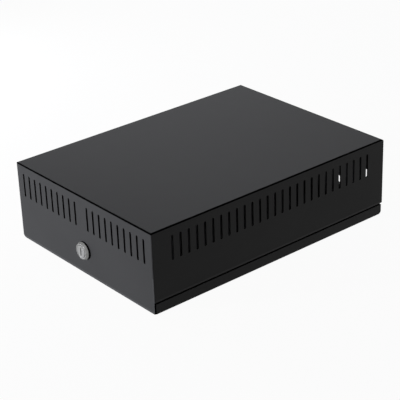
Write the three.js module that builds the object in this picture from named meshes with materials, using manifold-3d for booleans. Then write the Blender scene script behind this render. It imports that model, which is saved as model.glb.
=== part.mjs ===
// Lock box for a small video recorder: a folded steel tray, a hinged steel cover with vent slots,
// and a cam lock in the cover's front.
// Millimetres. +X is to the right seen from the front, +Y to the rear, +Z up.
// The origin is at the middle of the footprint, on the surface that the box stands on.
import * as THREE from "three";
import { mergeVertices } from "three/addons/utils/BufferGeometryUtils.js";
import Module from "manifold-3d";

const wasm = await Module();
wasm.setup();

// Case
const CASE_WIDTH = 260;
const CASE_DEPTH = 360;
const CASE_HEIGHT = 100;
const SHEET = 1.5;
const COVER_PLAY = 0.5; // between the cover and the tray inside it
const SEAT_GAP = 0.1; // coat left between faces that are clamped together
const CUT_OVERRUN = 4; // how far a cut runs past the face that it leaves

// Cover
const COVER_BEND = 2; // outside radius of the top and front bends
const SEAM_HEIGHT = 14.9; // lower edge of the cover's sides
const SIDE_CORNER_RADIUS = 1.2; // lower rear corner of each side
const FRONT_FLOOR_GAP = 0.5; // under the cover's front
const FRONT_LEFT_RADIUS = 7; // lower left corner of the front
const FRONT_RIGHT_RADIUS = 0.8; // lower right corner of the front
const SLOT_WIDTH = 3.2;
const SLOT_LENGTH = 30.3;
const SLOT_DROP = 11; // from the top of the case to the top of a slot
const FRONT_SLOT_PITCH = 11.57;
const FRONT_SLOT_MARGIN = 12; // solid stretch kept at each end of the front's row
const SIDE_SLOT_PITCH = 11.67;
const SIDE_SLOT_MARGIN = 20; // the same for the sides' rows

// Tray
const TRAY_BEND = 2; // outside radius of the side and front bends
const REAR_BEND = 4.3; // outside radius of the bend from floor to rear wall
const TRAY_SIDE_HEIGHT = 30;
const REAR_RETURN = 12; // stiffening flanges at the rear wall's ends
const FRONT_WALL_CLEARANCE = 3.7; // from the tray's front wall up to the lock's nut
const SKIRT_GAP = 2.3; // between a skirt strip and the edge of the cover above it
const SKIRT_REAR_INSET = 0.9; // strip's rear end, before the rear wall's outer face
const SKIRT_FRONT_RADIUS = 0.5; // lower front corner of a strip
const SKIRT_REAR_RADIUS = 4.3; // lower rear corner of a strip
const MOUNT_HOLE_RADIUS = 3.25;
const MOUNT_INSET_X = 40;
const MOUNT_INSET_Y = 50;

// Hinges
const HINGE_DROP = 14.5; // from the top of the case to the hinge axis
const HINGE_INSET = 42; // from the side of the case to the middle of a hinge
const HINGE_LENGTH = 44;
const KNUCKLE_COUNT = 5;
const KNUCKLE_GAP = 0.4;
const LEAF_THICKNESS = 1.2;
const LEAF_WIDTH = 12; // from the axis to a leaf's far edge
const PIN_PLAY = 0.15;
const PIN_PROUD = 0.6;
const LIP_GAP = 1; // between the rear wall's top and the cover's rear lip
const NOTCH_CLEARANCE = 0.4; // round the knuckles, in the wall, the lip and the other leaf
const RIVET_RADIUS = 1.5;
const RIVET_HOLE_PLAY = 0.15;
const RIVET_HEAD_RADIUS = 3;
const RIVET_HEAD_HEIGHT = 1.2;
const RIVET_TAIL_RADIUS = 2.5;
const RIVET_TAIL_HEIGHT = 0.8;
const RIVET_INSET = 8; // from a leaf's end to its rivet
const RIVET_EDGE = 4; // from a leaf's far edge to its rivets

// Lock
const LOCK_OFFSET = 1.9; // to the right of the cover's middle
const LOCK_HEIGHT = 31.5;
const LOCK_HEAD_RADIUS = 11;
const LOCK_HEAD_PROUD = 5.3;
const LOCK_RIM_WIDTH = 2.4; // with the tapered side
const LOCK_TAPER = 1.6; // the head is narrower by this much at its front
const LOCK_TAPER_LENGTH = 2.9;
const LOCK_FACE_SINK = 0.4; // face below the rim
const LOCK_FLANGE_THICKNESS = 3.3; // from the rim to the black collar behind the head
const LOCK_BODY_RADIUS = 9.5;
const LOCK_BODY_FLATS = 16.5;
const LOCK_BODY_LENGTH = 16;
const LOCK_HOLE_PLAY = 0.15;
const LOCK_WASHER_THICKNESS = 0.8;
const LOCK_WASHER_WIDTH = 2.8;
const LOCK_NUT_FLATS = 23;
const LOCK_NUT_THICKNESS = 5;
const PLUG_RADIUS = 7.2;
const PLUG_RISE = 0.4; // plug above the lock's face, so that it ends at the rim's height
const PLUG_PLAY = 0.15;
const PLUG_TAIL_WIDTH = 8;
const KEYWAY_WIDTH = 1.7;
const KEYWAY_HEIGHT = 10;
const KEYWAY_DEPTH = 11;
const KEYWAY_OFFSET = 0.3;
const CAM_THICKNESS = 2;
const CAM_HUB_RADIUS = 8.5;
const CAM_WIDTH = 13;
const CAM_REACH = 25;
const CAM_TIP_RADIUS = 3;
const CAM_GAP = 0.3; // between the turning cam and the lock's body
const CAM_SCREW_RADIUS = 1.9;
const CAM_SCREW_LENGTH = 8;
const CAM_SCREW_HEAD_RADIUS = 4.6;
const CAM_SCREW_HEAD_HEIGHT = 2.4;
const CAM_SCREW_SLOT_WIDTH = 1;
const CAM_SCREW_SLOT_DEPTH = 0.9;

// Catch for the cam, on the tray's floor
const CATCH_LENGTH = 20;
const CATCH_SIDE_CLEARANCE = 2.7; // from the lock's nut
const CATCH_PLAY = 1; // under the ledge, above the locked cam
const CATCH_LEDGE_LAP = 4.3; // ledge in front of the cam
const CATCH_REAR_CLEARANCE = 3.7; // from the cam to the upright behind it
const CATCH_FOOT = 18;
const STUD_RADIUS = 2;
const STUD_PLAY = 0.15;
const STUD_HEAD_RADIUS = 3;
const STUD_HEAD_SINK = 0.2;
const STUD_END = 1; // thread past the nut
const STUD_SPACING = 10;
const SMALL_NUT_FLATS = 7;
const SMALL_NUT_THICKNESS = 3.2;

// Cable ports in the rear wall, each with a rubber grommet
const GROMMET_LIP = 2; // thickness of a lip, beyond the wall
const GROMMET_LIP_BEVEL = 0.6;
const GROMMET_PLAY = 0.1;
const LARGE_PORT_BORE = 13.5; // radius left free
const LARGE_PORT_WEB = 2; // rubber between bore and wall
const LARGE_PORT_LIP_REACH = 1.5;
const LARGE_PORT_HEIGHT = 40.1;
const LARGE_PORT_EDGE = 0.9; // from its lip to the rear wall's return
const SMALL_PORT_BORE = 6.4;
const SMALL_PORT_WEB = 1.6;
const SMALL_PORT_LIP_REACH = 2.2;
const SMALL_PORT_HEIGHT = 23.2;
const PORT_SPACING = 23.9; // between the two lips

// Fan on the rear wall
const FAN_SIZE = 60;
const FAN_FRAME_DEPTH = 20;
const FAN_FLOOR_CLEARANCE = 12;
const FAN_HINGE_CLEARANCE = 6; // from the fan's side to the hinge beside it, seen from the rear
const FAN_DUCT_WALL = 1.6;
const FAN_DUCT_INSET = 0.2;
const FAN_FLANGE_THICKNESS = 3;
const FAN_CORNER_RADIUS = 4;
const FAN_HOLE_INSET = 5;
const FAN_STRUT_WIDTH = 2.6;
const FAN_STRUT_THICKNESS = 2;
const FAN_STRUT_COUNT = 4;
const FAN_MOTOR_RADIUS = 14;
const FAN_SPINDLE_RADIUS = 3;
const FAN_SPINDLE_LENGTH = 11;
const FAN_SPINDLE_PLAY = 0.2;
const FAN_HUB_RADIUS = 13.5;
const FAN_HUB_LENGTH = 14.5;
const FAN_HUB_GAP = 0.6; // between the hub and the motor's base
const FAN_TIP_GAP = 1;
const FAN_BLADE_COUNT = 7;
const FAN_BLADE_CHORD = 15;
const FAN_BLADE_CAMBER = 1.6;
const FAN_BLADE_THICKNESS = 1.3;
const FAN_BLADE_PITCH = THREE.MathUtils.degToRad(38);
const FAN_SCREW_RADIUS = 2;
const FAN_SCREW_PLAY = 0.15;
const FAN_SCREW_HEAD_RADIUS = 3.7;
const FAN_SCREW_HEAD_HEIGHT = 1.2;
const FAN_SCREW_END = 1;
const GUARD_THICKNESS = 1.4;
const GUARD_BAR = 1.6;
const GUARD_FIRST_RADIUS = 8;
const GUARD_RING_COUNT = 4;
const GUARD_SPOKE_COUNT = 4;
const GUARD_EYE_WIDTH = 1.8; // metal round each screw

// Facets
const BEND_STEPS = 2; // half the facets of a quarter turn
const SLOT_STEPS = 2; // half the facets of a slot's end
const SMALL_SIDES = 12;
const KNUCKLE_SIDES = 16;
const LOCK_SIDES = 32;
const FAN_SIDES = 36;
const PORT_SIDES = 24;
const HEX_SIDES = 6;
const BLADE_STEPS = 5;

// Places that follow from the sizes above
const HALF_WIDTH = CASE_WIDTH / 2;
const HALF_DEPTH = CASE_DEPTH / 2;
const TRAY_HALF_WIDTH = HALF_WIDTH - SHEET - COVER_PLAY;
const TRAY_FRONT = -HALF_DEPTH + SHEET + COVER_PLAY;
const HINGE_HEIGHT = CASE_HEIGHT - HINGE_DROP;
const HINGE_X = HALF_WIDTH - HINGE_INSET;
const KNUCKLE_RADIUS = SHEET + SEAT_GAP + LEAF_THICKNESS; // so that a leaf lies against the sheet
const KNUCKLE_BORE = KNUCKLE_RADIUS - LEAF_THICKNESS;
const NOTCH_RADIUS = KNUCKLE_RADIUS + NOTCH_CLEARANCE;
const RIVET_HOLE_RADIUS = RIVET_RADIUS + RIVET_HOLE_PLAY;
const RIVET_X = HINGE_LENGTH / 2 - RIVET_INSET;
const RIVET_Z = LEAF_WIDTH - RIVET_EDGE;
const LOCK_HOLE_RADIUS = LOCK_BODY_RADIUS + LOCK_HOLE_PLAY;
const LOCK_NUT_CORNER = hexCorner(LOCK_NUT_FLATS);
const CAM_START = LOCK_BODY_LENGTH + CAM_GAP;
const CAM_END = CAM_START + CAM_THICKNESS;
const TRAY_FRONT_HEIGHT = LOCK_HEIGHT - LOCK_NUT_CORNER - FRONT_WALL_CLEARANCE;
const CATCH_RIGHT = LOCK_OFFSET - LOCK_NUT_CORNER - CATCH_SIDE_CLEARANCE;
const CATCH_MIDDLE = CATCH_RIGHT - CATCH_LENGTH / 2;
const CATCH_UPRIGHT_FRONT = -HALF_DEPTH + CAM_END + CATCH_REAR_CLEARANCE;
const STUD_Y = CATCH_UPRIGHT_FRONT + SHEET + (CATCH_FOOT - SHEET) / 2;
const STUD_HOLE_RADIUS = STUD_RADIUS + STUD_PLAY;
const FAN_HALF = FAN_SIZE / 2;
const FAN_X = -(HINGE_X - HINGE_LENGTH / 2 - FAN_HINGE_CLEARANCE - FAN_HALF);
const FAN_Z = SHEET + FAN_FLOOR_CLEARANCE + FAN_HALF;
const FAN_DUCT_OUTER = FAN_HALF - FAN_DUCT_INSET;
const FAN_DUCT_BORE = FAN_DUCT_OUTER - FAN_DUCT_WALL;
const FAN_SCREW_HOLE_RADIUS = FAN_SCREW_RADIUS + FAN_SCREW_PLAY;
const FAN_HOLE_PLACE = FAN_HALF - FAN_HOLE_INSET;
const FAN_REAR = -SHEET - SEAT_GAP; // the fan's outlet face, from the wall's outer face
const FAN_FRONT = FAN_REAR - FAN_FRAME_DEPTH;
const LARGE_PORT = port(LARGE_PORT_BORE, LARGE_PORT_WEB, LARGE_PORT_LIP_REACH);
const SMALL_PORT = port(SMALL_PORT_BORE, SMALL_PORT_WEB, SMALL_PORT_LIP_REACH);
const LARGE_PORT_X = TRAY_HALF_WIDTH - SHEET - LARGE_PORT_EDGE - LARGE_PORT.lip;
const SMALL_PORT_X = LARGE_PORT_X - LARGE_PORT.lip - PORT_SPACING - SMALL_PORT.lip;

// Finishes
const BLACK_COAT = new THREE.MeshStandardMaterial({ color: 0x2c2c2e, roughness: 0.55, metalness: 0.1 });
const NICKEL = new THREE.MeshStandardMaterial({ color: 0xa9a9a6, roughness: 0.3, metalness: 0.9 });
const ZINC = new THREE.MeshStandardMaterial({ color: 0xb4b7ba, roughness: 0.42, metalness: 0.85 });
const BLACK_RUBBER = new THREE.MeshStandardMaterial({ color: 0x18181a, roughness: 0.85, metalness: 0 });
const BLACK_PLASTIC = new THREE.MeshStandardMaterial({ color: 0x1d1d1f, roughness: 0.5, metalness: 0 });

// Radii of a port's rubber and of the hole that it sits in.
function port(bore, web, lipReach) {
  return { bore, groove: bore + web, lip: bore + web + lipReach };
}

// Radius of a hexagon's corners from its width across flats.
function hexCorner(flats) {
  return flats / 2 / Math.cos(Math.PI / HEX_SIDES);
}

// Radius that puts the flats of a faceted cylinder, and not its corners, at the given radius.
function roundAtFlats(radius, sides) {
  return radius / Math.cos(Math.PI / sides);
}

// A closed solid from a geometry. Triangles that shrink to a line at a lathe's axis are left out.
function toSolid(shape) {
  if (!shape.isBufferGeometry) return shape;
  const bare = shape.clone();
  bare.deleteAttribute("normal");
  bare.deleteAttribute("uv");
  const merged = mergeVertices(bare);
  const corners = merged.index.array;
  const triVerts = [];
  for (let i = 0; i < corners.length; i += 3) {
    const [a, b, c] = corners.slice(i, i + 3);
    if (a !== b && b !== c && c !== a) triVerts.push(a, b, c);
  }
  return new wasm.Manifold(
    new wasm.Mesh({
      numProp: 3,
      vertProperties: merged.attributes.position.array,
      triVerts: new Uint32Array(triVerts),
    }),
  );
}

// A geometry with flat faces from a solid.
function toGeometry(solid) {
  const mesh = solid.getMesh();
  const geometry = new THREE.BufferGeometry();
  geometry.setAttribute("position", new THREE.BufferAttribute(mesh.vertProperties, 3));
  geometry.setIndex(new THREE.BufferAttribute(mesh.triVerts, 1));
  const flat = geometry.toNonIndexed();
  flat.computeVertexNormals();
  return flat;
}

function join(...shapes) {
  return shapes.flat().map(toSolid).reduce((whole, next) => whole.add(next));
}

function cut(shape, ...tools) {
  return tools.flat().map(toSolid).reduce((rest, tool) => rest.subtract(tool), toSolid(shape));
}

function common(...shapes) {
  return shapes.flat().map(toSolid).reduce((whole, next) => whole.intersect(next));
}

function piece(name, shape, material) {
  const mesh = new THREE.Mesh(toGeometry(toSolid(shape)), material);
  mesh.name = name;
  return mesh;
}

function group(pieces, x, y, z) {
  const holder = new THREE.Group();
  holder.position.set(x, y, z);
  holder.add(...pieces);
  return holder;
}

// A block between two opposite corners.
function block([left, right], [front, rear], [low, high]) {
  return new THREE.BoxGeometry(right - left, rear - front, high - low).translate(
    (left + right) / 2,
    (front + rear) / 2,
    (low + high) / 2,
  );
}

// A round bar along one axis, through a point of the plane across that axis.
function rod(axis, radius, [start, end], sides, [u, v] = [0, 0]) {
  const bar = new THREE.CylinderGeometry(radius, radius, end - start, sides);
  bar.translate(0, (start + end) / 2, 0);
  if (axis === "x") return bar.rotateZ(-Math.PI / 2).translate(0, u, v);
  if (axis === "z") return bar.rotateX(Math.PI / 2).translate(u, v, 0);
  return bar.translate(u, 0, v);
}

// A body turned about the Y axis from radius and Y pairs, which run towards +Y up its outside.
function turned(profile, sides) {
  return new THREE.LatheGeometry(
    profile.map(([radius, y]) => new THREE.Vector2(radius, y)),
    sides,
  );
}

// Outline in X and Y, extruded upwards.
function alongZ(outline, [low, high], steps = BEND_STEPS) {
  const options = { depth: high - low, bevelEnabled: false, curveSegments: steps };
  return new THREE.ExtrudeGeometry(outline, options).translate(0, 0, low);
}

// Outline in X and Z, extruded from front to rear.
function alongY(outline, [front, rear], steps = BEND_STEPS) {
  return alongZ(outline, [front, rear], steps)
    .rotateX(Math.PI / 2)
    .translate(0, front + rear, 0);
}

// Outline in Y and Z, extruded from left to right.
function alongX(outline, [left, right], steps = BEND_STEPS) {
  const yAxis = new THREE.Vector3(0, 1, 0);
  const zAxis = new THREE.Vector3(0, 0, 1);
  const xAxis = new THREE.Vector3(1, 0, 0);
  const turn = new THREE.Matrix4().makeBasis(yAxis, zAxis, xAxis);
  return alongZ(outline, [left, right], steps).applyMatrix4(turn);
}

// A rectangle with a radius for each corner, counter-clockwise from the lower left one.
function roundedRectangle([left, right], [low, high], radii) {
  const outline = new THREE.Shape();
  const corners = [
    [left, low, 1, 1],
    [right, low, -1, 1],
    [right, high, -1, -1],
    [left, high, 1, -1],
  ];
  corners.forEach(([x, y, inX, inY], i) => {
    const radius = radii[i];
    const start = Math.PI + (i * Math.PI) / 2;
    const centre = [x + inX * radius, y + inY * radius];
    const from = [centre[0] + radius * Math.cos(start), centre[1] + radius * Math.sin(start)];
    if (i === 0) outline.moveTo(...from);
    else outline.lineTo(...from);
    if (radius > 0) outline.absarc(...centre, radius, start, start + Math.PI / 2, false);
  });
  return outline;
}

function polygon(points) {
  return new THREE.Shape(points.map(([x, y]) => new THREE.Vector2(x, y)));
}

// A ring-shaped outline.
function ring(outer, inner) {
  const outline = new THREE.Shape().absarc(0, 0, outer, 0, 2 * Math.PI, false);
  outline.holes.push(new THREE.Path().absarc(0, 0, inner, 0, 2 * Math.PI, true));
  return outline;
}

function hexPrism(axis, flats, span, at) {
  return rod(axis, hexCorner(flats), span, HEX_SIDES, at);
}

// An upright slot outline with round ends, centred on (u, v).
function slotOutline(u, v) {
  const half = SLOT_WIDTH / 2;
  const reach = SLOT_LENGTH / 2 - half;
  const outline = new THREE.Shape();
  outline.absarc(u, v + reach, half, 0, Math.PI, false);
  outline.absarc(u, v - reach, half, Math.PI, 2 * Math.PI, false);
  return outline;
}

// Where a row of slots has its slots: the same number on each side of its middle.
function slotPlaces(halfLength, margin, pitch) {
  const count = Math.floor((halfLength - margin) / pitch);
  const places = [];
  for (let i = 1; i <= count; i += 1) places.push(-i * pitch, i * pitch);
  return places;
}

function frontSlots() {
  const height = CASE_HEIGHT - SLOT_DROP - SLOT_LENGTH / 2;
  const span = [-HALF_DEPTH - CUT_OVERRUN, -HALF_DEPTH + SHEET + CUT_OVERRUN];
  return slotPlaces(HALF_WIDTH, FRONT_SLOT_MARGIN, FRONT_SLOT_PITCH).map((x) =>
    alongY(slotOutline(x, height), span, SLOT_STEPS),
  );
}

// Each cutter runs through both sides of the cover.
function sideSlots() {
  const height = CASE_HEIGHT - SLOT_DROP - SLOT_LENGTH / 2;
  const span = [-HALF_WIDTH - CUT_OVERRUN, HALF_WIDTH + CUT_OVERRUN];
  const places = slotPlaces(HALF_DEPTH, SIDE_SLOT_MARGIN, SIDE_SLOT_PITCH);
  return [0, ...places].map((y) => alongX(slotOutline(y, height), span, SLOT_STEPS));
}

// The block that a folded cover fills: bends along the top edges and the upright front edges.
function coverBlock(inset, low, rearCornerRadius) {
  const bend = COVER_BEND - inset;
  const width = [-HALF_WIDTH + inset, HALF_WIDTH - inset];
  const depth = [-HALF_DEPTH + inset, HALF_DEPTH - inset];
  const height = [low, CASE_HEIGHT - inset];
  return common(
    alongX(roundedRectangle(depth, height, [0, rearCornerRadius, bend, bend]), width),
    alongY(roundedRectangle(width, height, [0, 0, bend, bend]), depth),
    alongZ(roundedRectangle(width, depth, [bend, bend, 0, 0]), height),
  );
}

// Opening in the cover's front for the lock's body, with its two flats.
function lockHole() {
  const halfFlats = LOCK_BODY_FLATS / 2 + LOCK_HOLE_PLAY;
  const width = [LOCK_OFFSET - halfFlats, LOCK_OFFSET + halfFlats];
  const span = [-HALF_DEPTH - CUT_OVERRUN, -HALF_DEPTH + SHEET + CUT_OVERRUN];
  return common(
    rod("y", LOCK_HOLE_RADIUS, span, LOCK_SIDES, [LOCK_OFFSET, LOCK_HEIGHT]),
    block(width, span, [LOCK_HEIGHT - CASE_HEIGHT, LOCK_HEIGHT + CASE_HEIGHT]),
  );
}

// Notches for the knuckles and holes for the rivets of both hinges. side is 1 for the cover's lip
// above the hinge axis and -1 for the tray's wall below it.
function hingeCuts(side) {
  const span = [HALF_DEPTH - SHEET - CUT_OVERRUN, HALF_DEPTH + CUT_OVERRUN];
  const reach = HINGE_LENGTH / 2 + NOTCH_CLEARANCE + PIN_PROUD;
  const heights = [HINGE_HEIGHT, HINGE_HEIGHT + side * NOTCH_RADIUS].sort((a, b) => a - b);
  return [-HINGE_X, HINGE_X].flatMap((x) => [
    block([x - reach, x + reach], span, heights),
    ...[-RIVET_X, RIVET_X].map((offset) =>
      rod("y", RIVET_HOLE_RADIUS, span, SMALL_SIDES, [x + offset, HINGE_HEIGHT + side * RIVET_Z]),
    ),
  ]);
}

function coverShell() {
  const below = -CUT_OVERRUN;
  const upper = cut(coverBlock(0, SEAM_HEIGHT, SIDE_CORNER_RADIUS), coverBlock(SHEET, below, 0));
  const outside = coverBlock(0, FRONT_FLOOR_GAP, 0);
  const width = [-HALF_WIDTH, HALF_WIDTH];
  const height = [FRONT_FLOOR_GAP, SEAM_HEIGHT + SHEET];
  const radii = [FRONT_LEFT_RADIUS, FRONT_RIGHT_RADIUS, 0, 0];
  const frontPlate = roundedRectangle(width, height, radii);
  const front = common(alongY(frontPlate, [-HALF_DEPTH, -HALF_DEPTH + SHEET]), outside);
  const belowLip = block(
    [-HALF_WIDTH + SHEET, HALF_WIDTH - SHEET],
    [0, HALF_DEPTH + CUT_OVERRUN],
    [below, HINGE_HEIGHT + LIP_GAP / 2],
  );
  return cut(join(upper, front), belowLip, frontSlots(), sideSlots(), lockHole(), hingeCuts(1));
}

// The block that the tray fills, with its bends, up to the rear wall's top.
function trayBlock(inset, high) {
  const bend = TRAY_BEND - inset;
  const rearBend = REAR_BEND - inset;
  const width = [-TRAY_HALF_WIDTH + inset, TRAY_HALF_WIDTH - inset];
  const depth = [TRAY_FRONT + inset, HALF_DEPTH - inset];
  const height = [inset, high];
  return common(
    alongX(roundedRectangle(depth, height, [bend, rearBend, 0, 0]), width),
    alongY(roundedRectangle(width, height, [bend, bend, 0, 0]), depth),
    alongZ(roundedRectangle(width, depth, [bend, bend, bend, bend]), height),
  );
}

function mountHoles() {
  const span = [-CUT_OVERRUN, SHEET + CUT_OVERRUN];
  const x = HALF_WIDTH - MOUNT_INSET_X;
  const y = HALF_DEPTH - MOUNT_INSET_Y;
  const places = [[-x, -y], [x, -y], [-x, y], [x, y]];
  return places.map((at) => rod("z", MOUNT_HOLE_RADIUS, span, PORT_SIDES, at));
}

function studPlaces() {
  const half = STUD_SPACING / 2;
  return [CATCH_MIDDLE - half, CATCH_MIDDLE + half].map((x) => [x, STUD_Y]);
}

function fanHolePlaces() {
  const place = FAN_HOLE_PLACE;
  return [[-place, -place], [place, -place], [-place, place], [place, place]];
}

// Holes in the rear wall: the fan's duct and screws, and the two cable ports.
function rearWallHoles() {
  const span = [HALF_DEPTH - SHEET - CUT_OVERRUN, HALF_DEPTH + CUT_OVERRUN];
  const fanScrews = fanHolePlaces().map(([x, z]) =>
    rod("y", FAN_SCREW_HOLE_RADIUS, span, SMALL_SIDES, [FAN_X + x, FAN_Z + z]),
  );
  const largeHole = roundAtFlats(LARGE_PORT.groove + GROMMET_PLAY, PORT_SIDES);
  const smallHole = roundAtFlats(SMALL_PORT.groove + GROMMET_PLAY, PORT_SIDES);
  return [
    rod("y", FAN_DUCT_BORE, span, FAN_SIDES, [FAN_X, FAN_Z]),
    ...fanScrews,
    rod("y", largeHole, span, PORT_SIDES, [LARGE_PORT_X, LARGE_PORT_HEIGHT]),
    rod("y", smallHole, span, PORT_SIDES, [SMALL_PORT_X, SMALL_PORT_HEIGHT]),
  ];
}

function baseTray() {
  const rearTop = HINGE_HEIGHT - LIP_GAP / 2;
  const above = rearTop + CUT_OVERRUN;
  const shell = cut(trayBlock(0, rearTop), trayBlock(SHEET, above));
  const inside = [-TRAY_HALF_WIDTH + SHEET, TRAY_HALF_WIDTH - SHEET];
  const overSides = block(
    [-HALF_WIDTH, HALF_WIDTH],
    [-HALF_DEPTH, HALF_DEPTH - SHEET - REAR_RETURN],
    [TRAY_SIDE_HEIGHT, above],
  );
  const overFront = block(inside, [-HALF_DEPTH, 0], [TRAY_FRONT_HEIGHT, above]);
  const studHoles = studPlaces().map((at) =>
    rod("z", STUD_HEAD_RADIUS + STUD_PLAY, [-CUT_OVERRUN, SHEET + CUT_OVERRUN], SMALL_SIDES, at),
  );
  return cut(shell, overSides, overFront, mountHoles(), studHoles, rearWallHoles(), hingeCuts(-1));
}

// A strip welded on outside the tray's low wall, nearly flush with the cover above it. side is 1
// for the right strip and -1 for the left one.
function skirtStrip(side) {
  const inner = side * (TRAY_HALF_WIDTH + SEAT_GAP);
  const faces = [inner, inner + side * SHEET].sort((a, b) => a - b);
  const depth = [TRAY_FRONT, HALF_DEPTH - SKIRT_REAR_INSET];
  const radii = [SKIRT_FRONT_RADIUS, SKIRT_REAR_RADIUS, 0, 0];
  return alongX(roundedRectangle(depth, [0, SEAM_HEIGHT - SKIRT_GAP], radii), faces);
}

// A hinge leaf rolled round its pin. side is 1 for the moving leaf above the axis and -1 for the
// fixed leaf below it, and first is its first knuckle. The hinge axis is at the origin.
function hingeLeaf(side, first) {
  const plate = [-KNUCKLE_RADIUS, -KNUCKLE_RADIUS + LEAF_THICKNESS];
  const heights = (near, far) => [side * near, side * far].sort((a, b) => a - b);
  const half = HINGE_LENGTH / 2;
  const length = (HINGE_LENGTH - KNUCKLE_GAP * (KNUCKLE_COUNT - 1)) / KNUCKLE_COUNT;
  const shapes = [block([-half, half], plate, heights(NOTCH_RADIUS, LEAF_WIDTH))];
  for (let i = first; i < KNUCKLE_COUNT; i += 2) {
    const start = -half + i * (length + KNUCKLE_GAP);
    shapes.push(block([start, start + length], plate, heights(0, LEAF_WIDTH)));
    shapes.push(rod("x", KNUCKLE_RADIUS, [start, start + length], KNUCKLE_SIDES));
  }
  const rivetHoles = [-RIVET_X, RIVET_X].map((x) =>
    rod("y", RIVET_HOLE_RADIUS, [-CUT_OVERRUN, 0], SMALL_SIDES, [x, side * RIVET_Z]),
  );
  return cut(join(shapes), rod("x", KNUCKLE_BORE, [-half, half], KNUCKLE_SIDES), rivetHoles);
}

function hingePin() {
  const reach = HINGE_LENGTH / 2 + PIN_PROUD;
  return rod("x", KNUCKLE_BORE - PIN_PLAY, [-reach, reach], KNUCKLE_SIDES);
}

// A rivet through sheet and leaf: a domed head outside and a flat tail inside. The sheet's outer
// face is at the origin.
function rivet() {
  const seat = SEAT_GAP;
  const tailSeat = -KNUCKLE_RADIUS - SEAT_GAP;
  const shoulderShare = 0.45;
  const crownShare = 0.6;
  return turned(
    [
      [0, tailSeat - RIVET_TAIL_HEIGHT],
      [RIVET_TAIL_RADIUS, tailSeat - RIVET_TAIL_HEIGHT],
      [RIVET_TAIL_RADIUS, tailSeat],
      [RIVET_RADIUS, tailSeat],
      [RIVET_RADIUS, seat],
      [RIVET_HEAD_RADIUS, seat],
      [RIVET_HEAD_RADIUS, seat + RIVET_HEAD_HEIGHT * shoulderShare],
      [RIVET_HEAD_RADIUS * crownShare, seat + RIVET_HEAD_HEIGHT],
      [0, seat + RIVET_HEAD_HEIGHT],
    ],
    SMALL_SIDES,
  );
}

function hinge(label, x) {
  const leaves = [
    piece(`hinge_leaf_fixed_${label}`, hingeLeaf(-1, 0), ZINC),
    piece(`hinge_leaf_moving_${label}`, hingeLeaf(1, 1), ZINC),
    piece(`hinge_pin_${label}`, hingePin(), ZINC),
  ];
  const rivets = [["fixed", -1], ["moving", 1]].flatMap(([leaf, side]) =>
    [-RIVET_X, RIVET_X].map((offset, i) => {
      const mesh = piece(`hinge_rivet_${leaf}_${label}_${i + 1}`, rivet(), ZINC);
      mesh.position.set(offset, 0, side * RIVET_Z);
      return mesh;
    }),
  );
  return group([...leaves, ...rivets], x, HALF_DEPTH, HINGE_HEIGHT);
}

// The lock's body: tapered head with a raised rim, and a shank with two flats. The cover's outer face is
// at the origin, and the lock's axis is the Y axis.
function lockBody() {
  const face = -LOCK_HEAD_PROUD + LOCK_FACE_SINK;
  const bore = PLUG_RADIUS + PLUG_PLAY;
  const rimInner = LOCK_HEAD_RADIUS - LOCK_RIM_WIDTH;
  const under = -LOCK_HEAD_PROUD + LOCK_FLANGE_THICKNESS;
  const profile = [
    [bore, face],
    [rimInner, face],
    [rimInner, -LOCK_HEAD_PROUD],
    [LOCK_HEAD_RADIUS - LOCK_TAPER, -LOCK_HEAD_PROUD],
    [LOCK_HEAD_RADIUS, -LOCK_HEAD_PROUD + LOCK_TAPER_LENGTH],
    [LOCK_HEAD_RADIUS, under],
    [LOCK_BODY_RADIUS, under],
    [LOCK_BODY_RADIUS, LOCK_BODY_LENGTH],
    [bore, LOCK_BODY_LENGTH],
    [bore, face],
  ];
  const shank = [-SEAT_GAP, LOCK_BODY_LENGTH + CUT_OVERRUN];
  const flats = [-1, 1].map((side) => {
    const near = (side * LOCK_BODY_FLATS) / 2;
    const far = side * LOCK_HEAD_RADIUS;
    return block([near, far].sort((a, b) => a - b), shank, [-LOCK_HEAD_RADIUS, LOCK_HEAD_RADIUS]);
  });
  return cut(turned(profile, LOCK_SIDES), flats);
}

// A black ring between the head and the cover.
function lockCollar() {
  const span = [-LOCK_HEAD_PROUD + LOCK_FLANGE_THICKNESS + SEAT_GAP, -SEAT_GAP];
  return alongY(ring(LOCK_HEAD_RADIUS, LOCK_HOLE_RADIUS), span, LOCK_SIDES / 2);
}

function lockWasher() {
  const start = SHEET + SEAT_GAP;
  const outer = LOCK_HOLE_RADIUS + LOCK_WASHER_WIDTH;
  return alongY(ring(outer, LOCK_HOLE_RADIUS), [start, start + LOCK_WASHER_THICKNESS], LOCK_SIDES / 2);
}

function lockNut() {
  const start = SHEET + 2 * SEAT_GAP + LOCK_WASHER_THICKNESS;
  const span = [start, start + LOCK_NUT_THICKNESS];
  const through = [start - CUT_OVERRUN, start + LOCK_NUT_THICKNESS + CUT_OVERRUN];
  return cut(hexPrism("y", LOCK_NUT_FLATS, span), rod("y", LOCK_HOLE_RADIUS, through, LOCK_SIDES));
}

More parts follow.
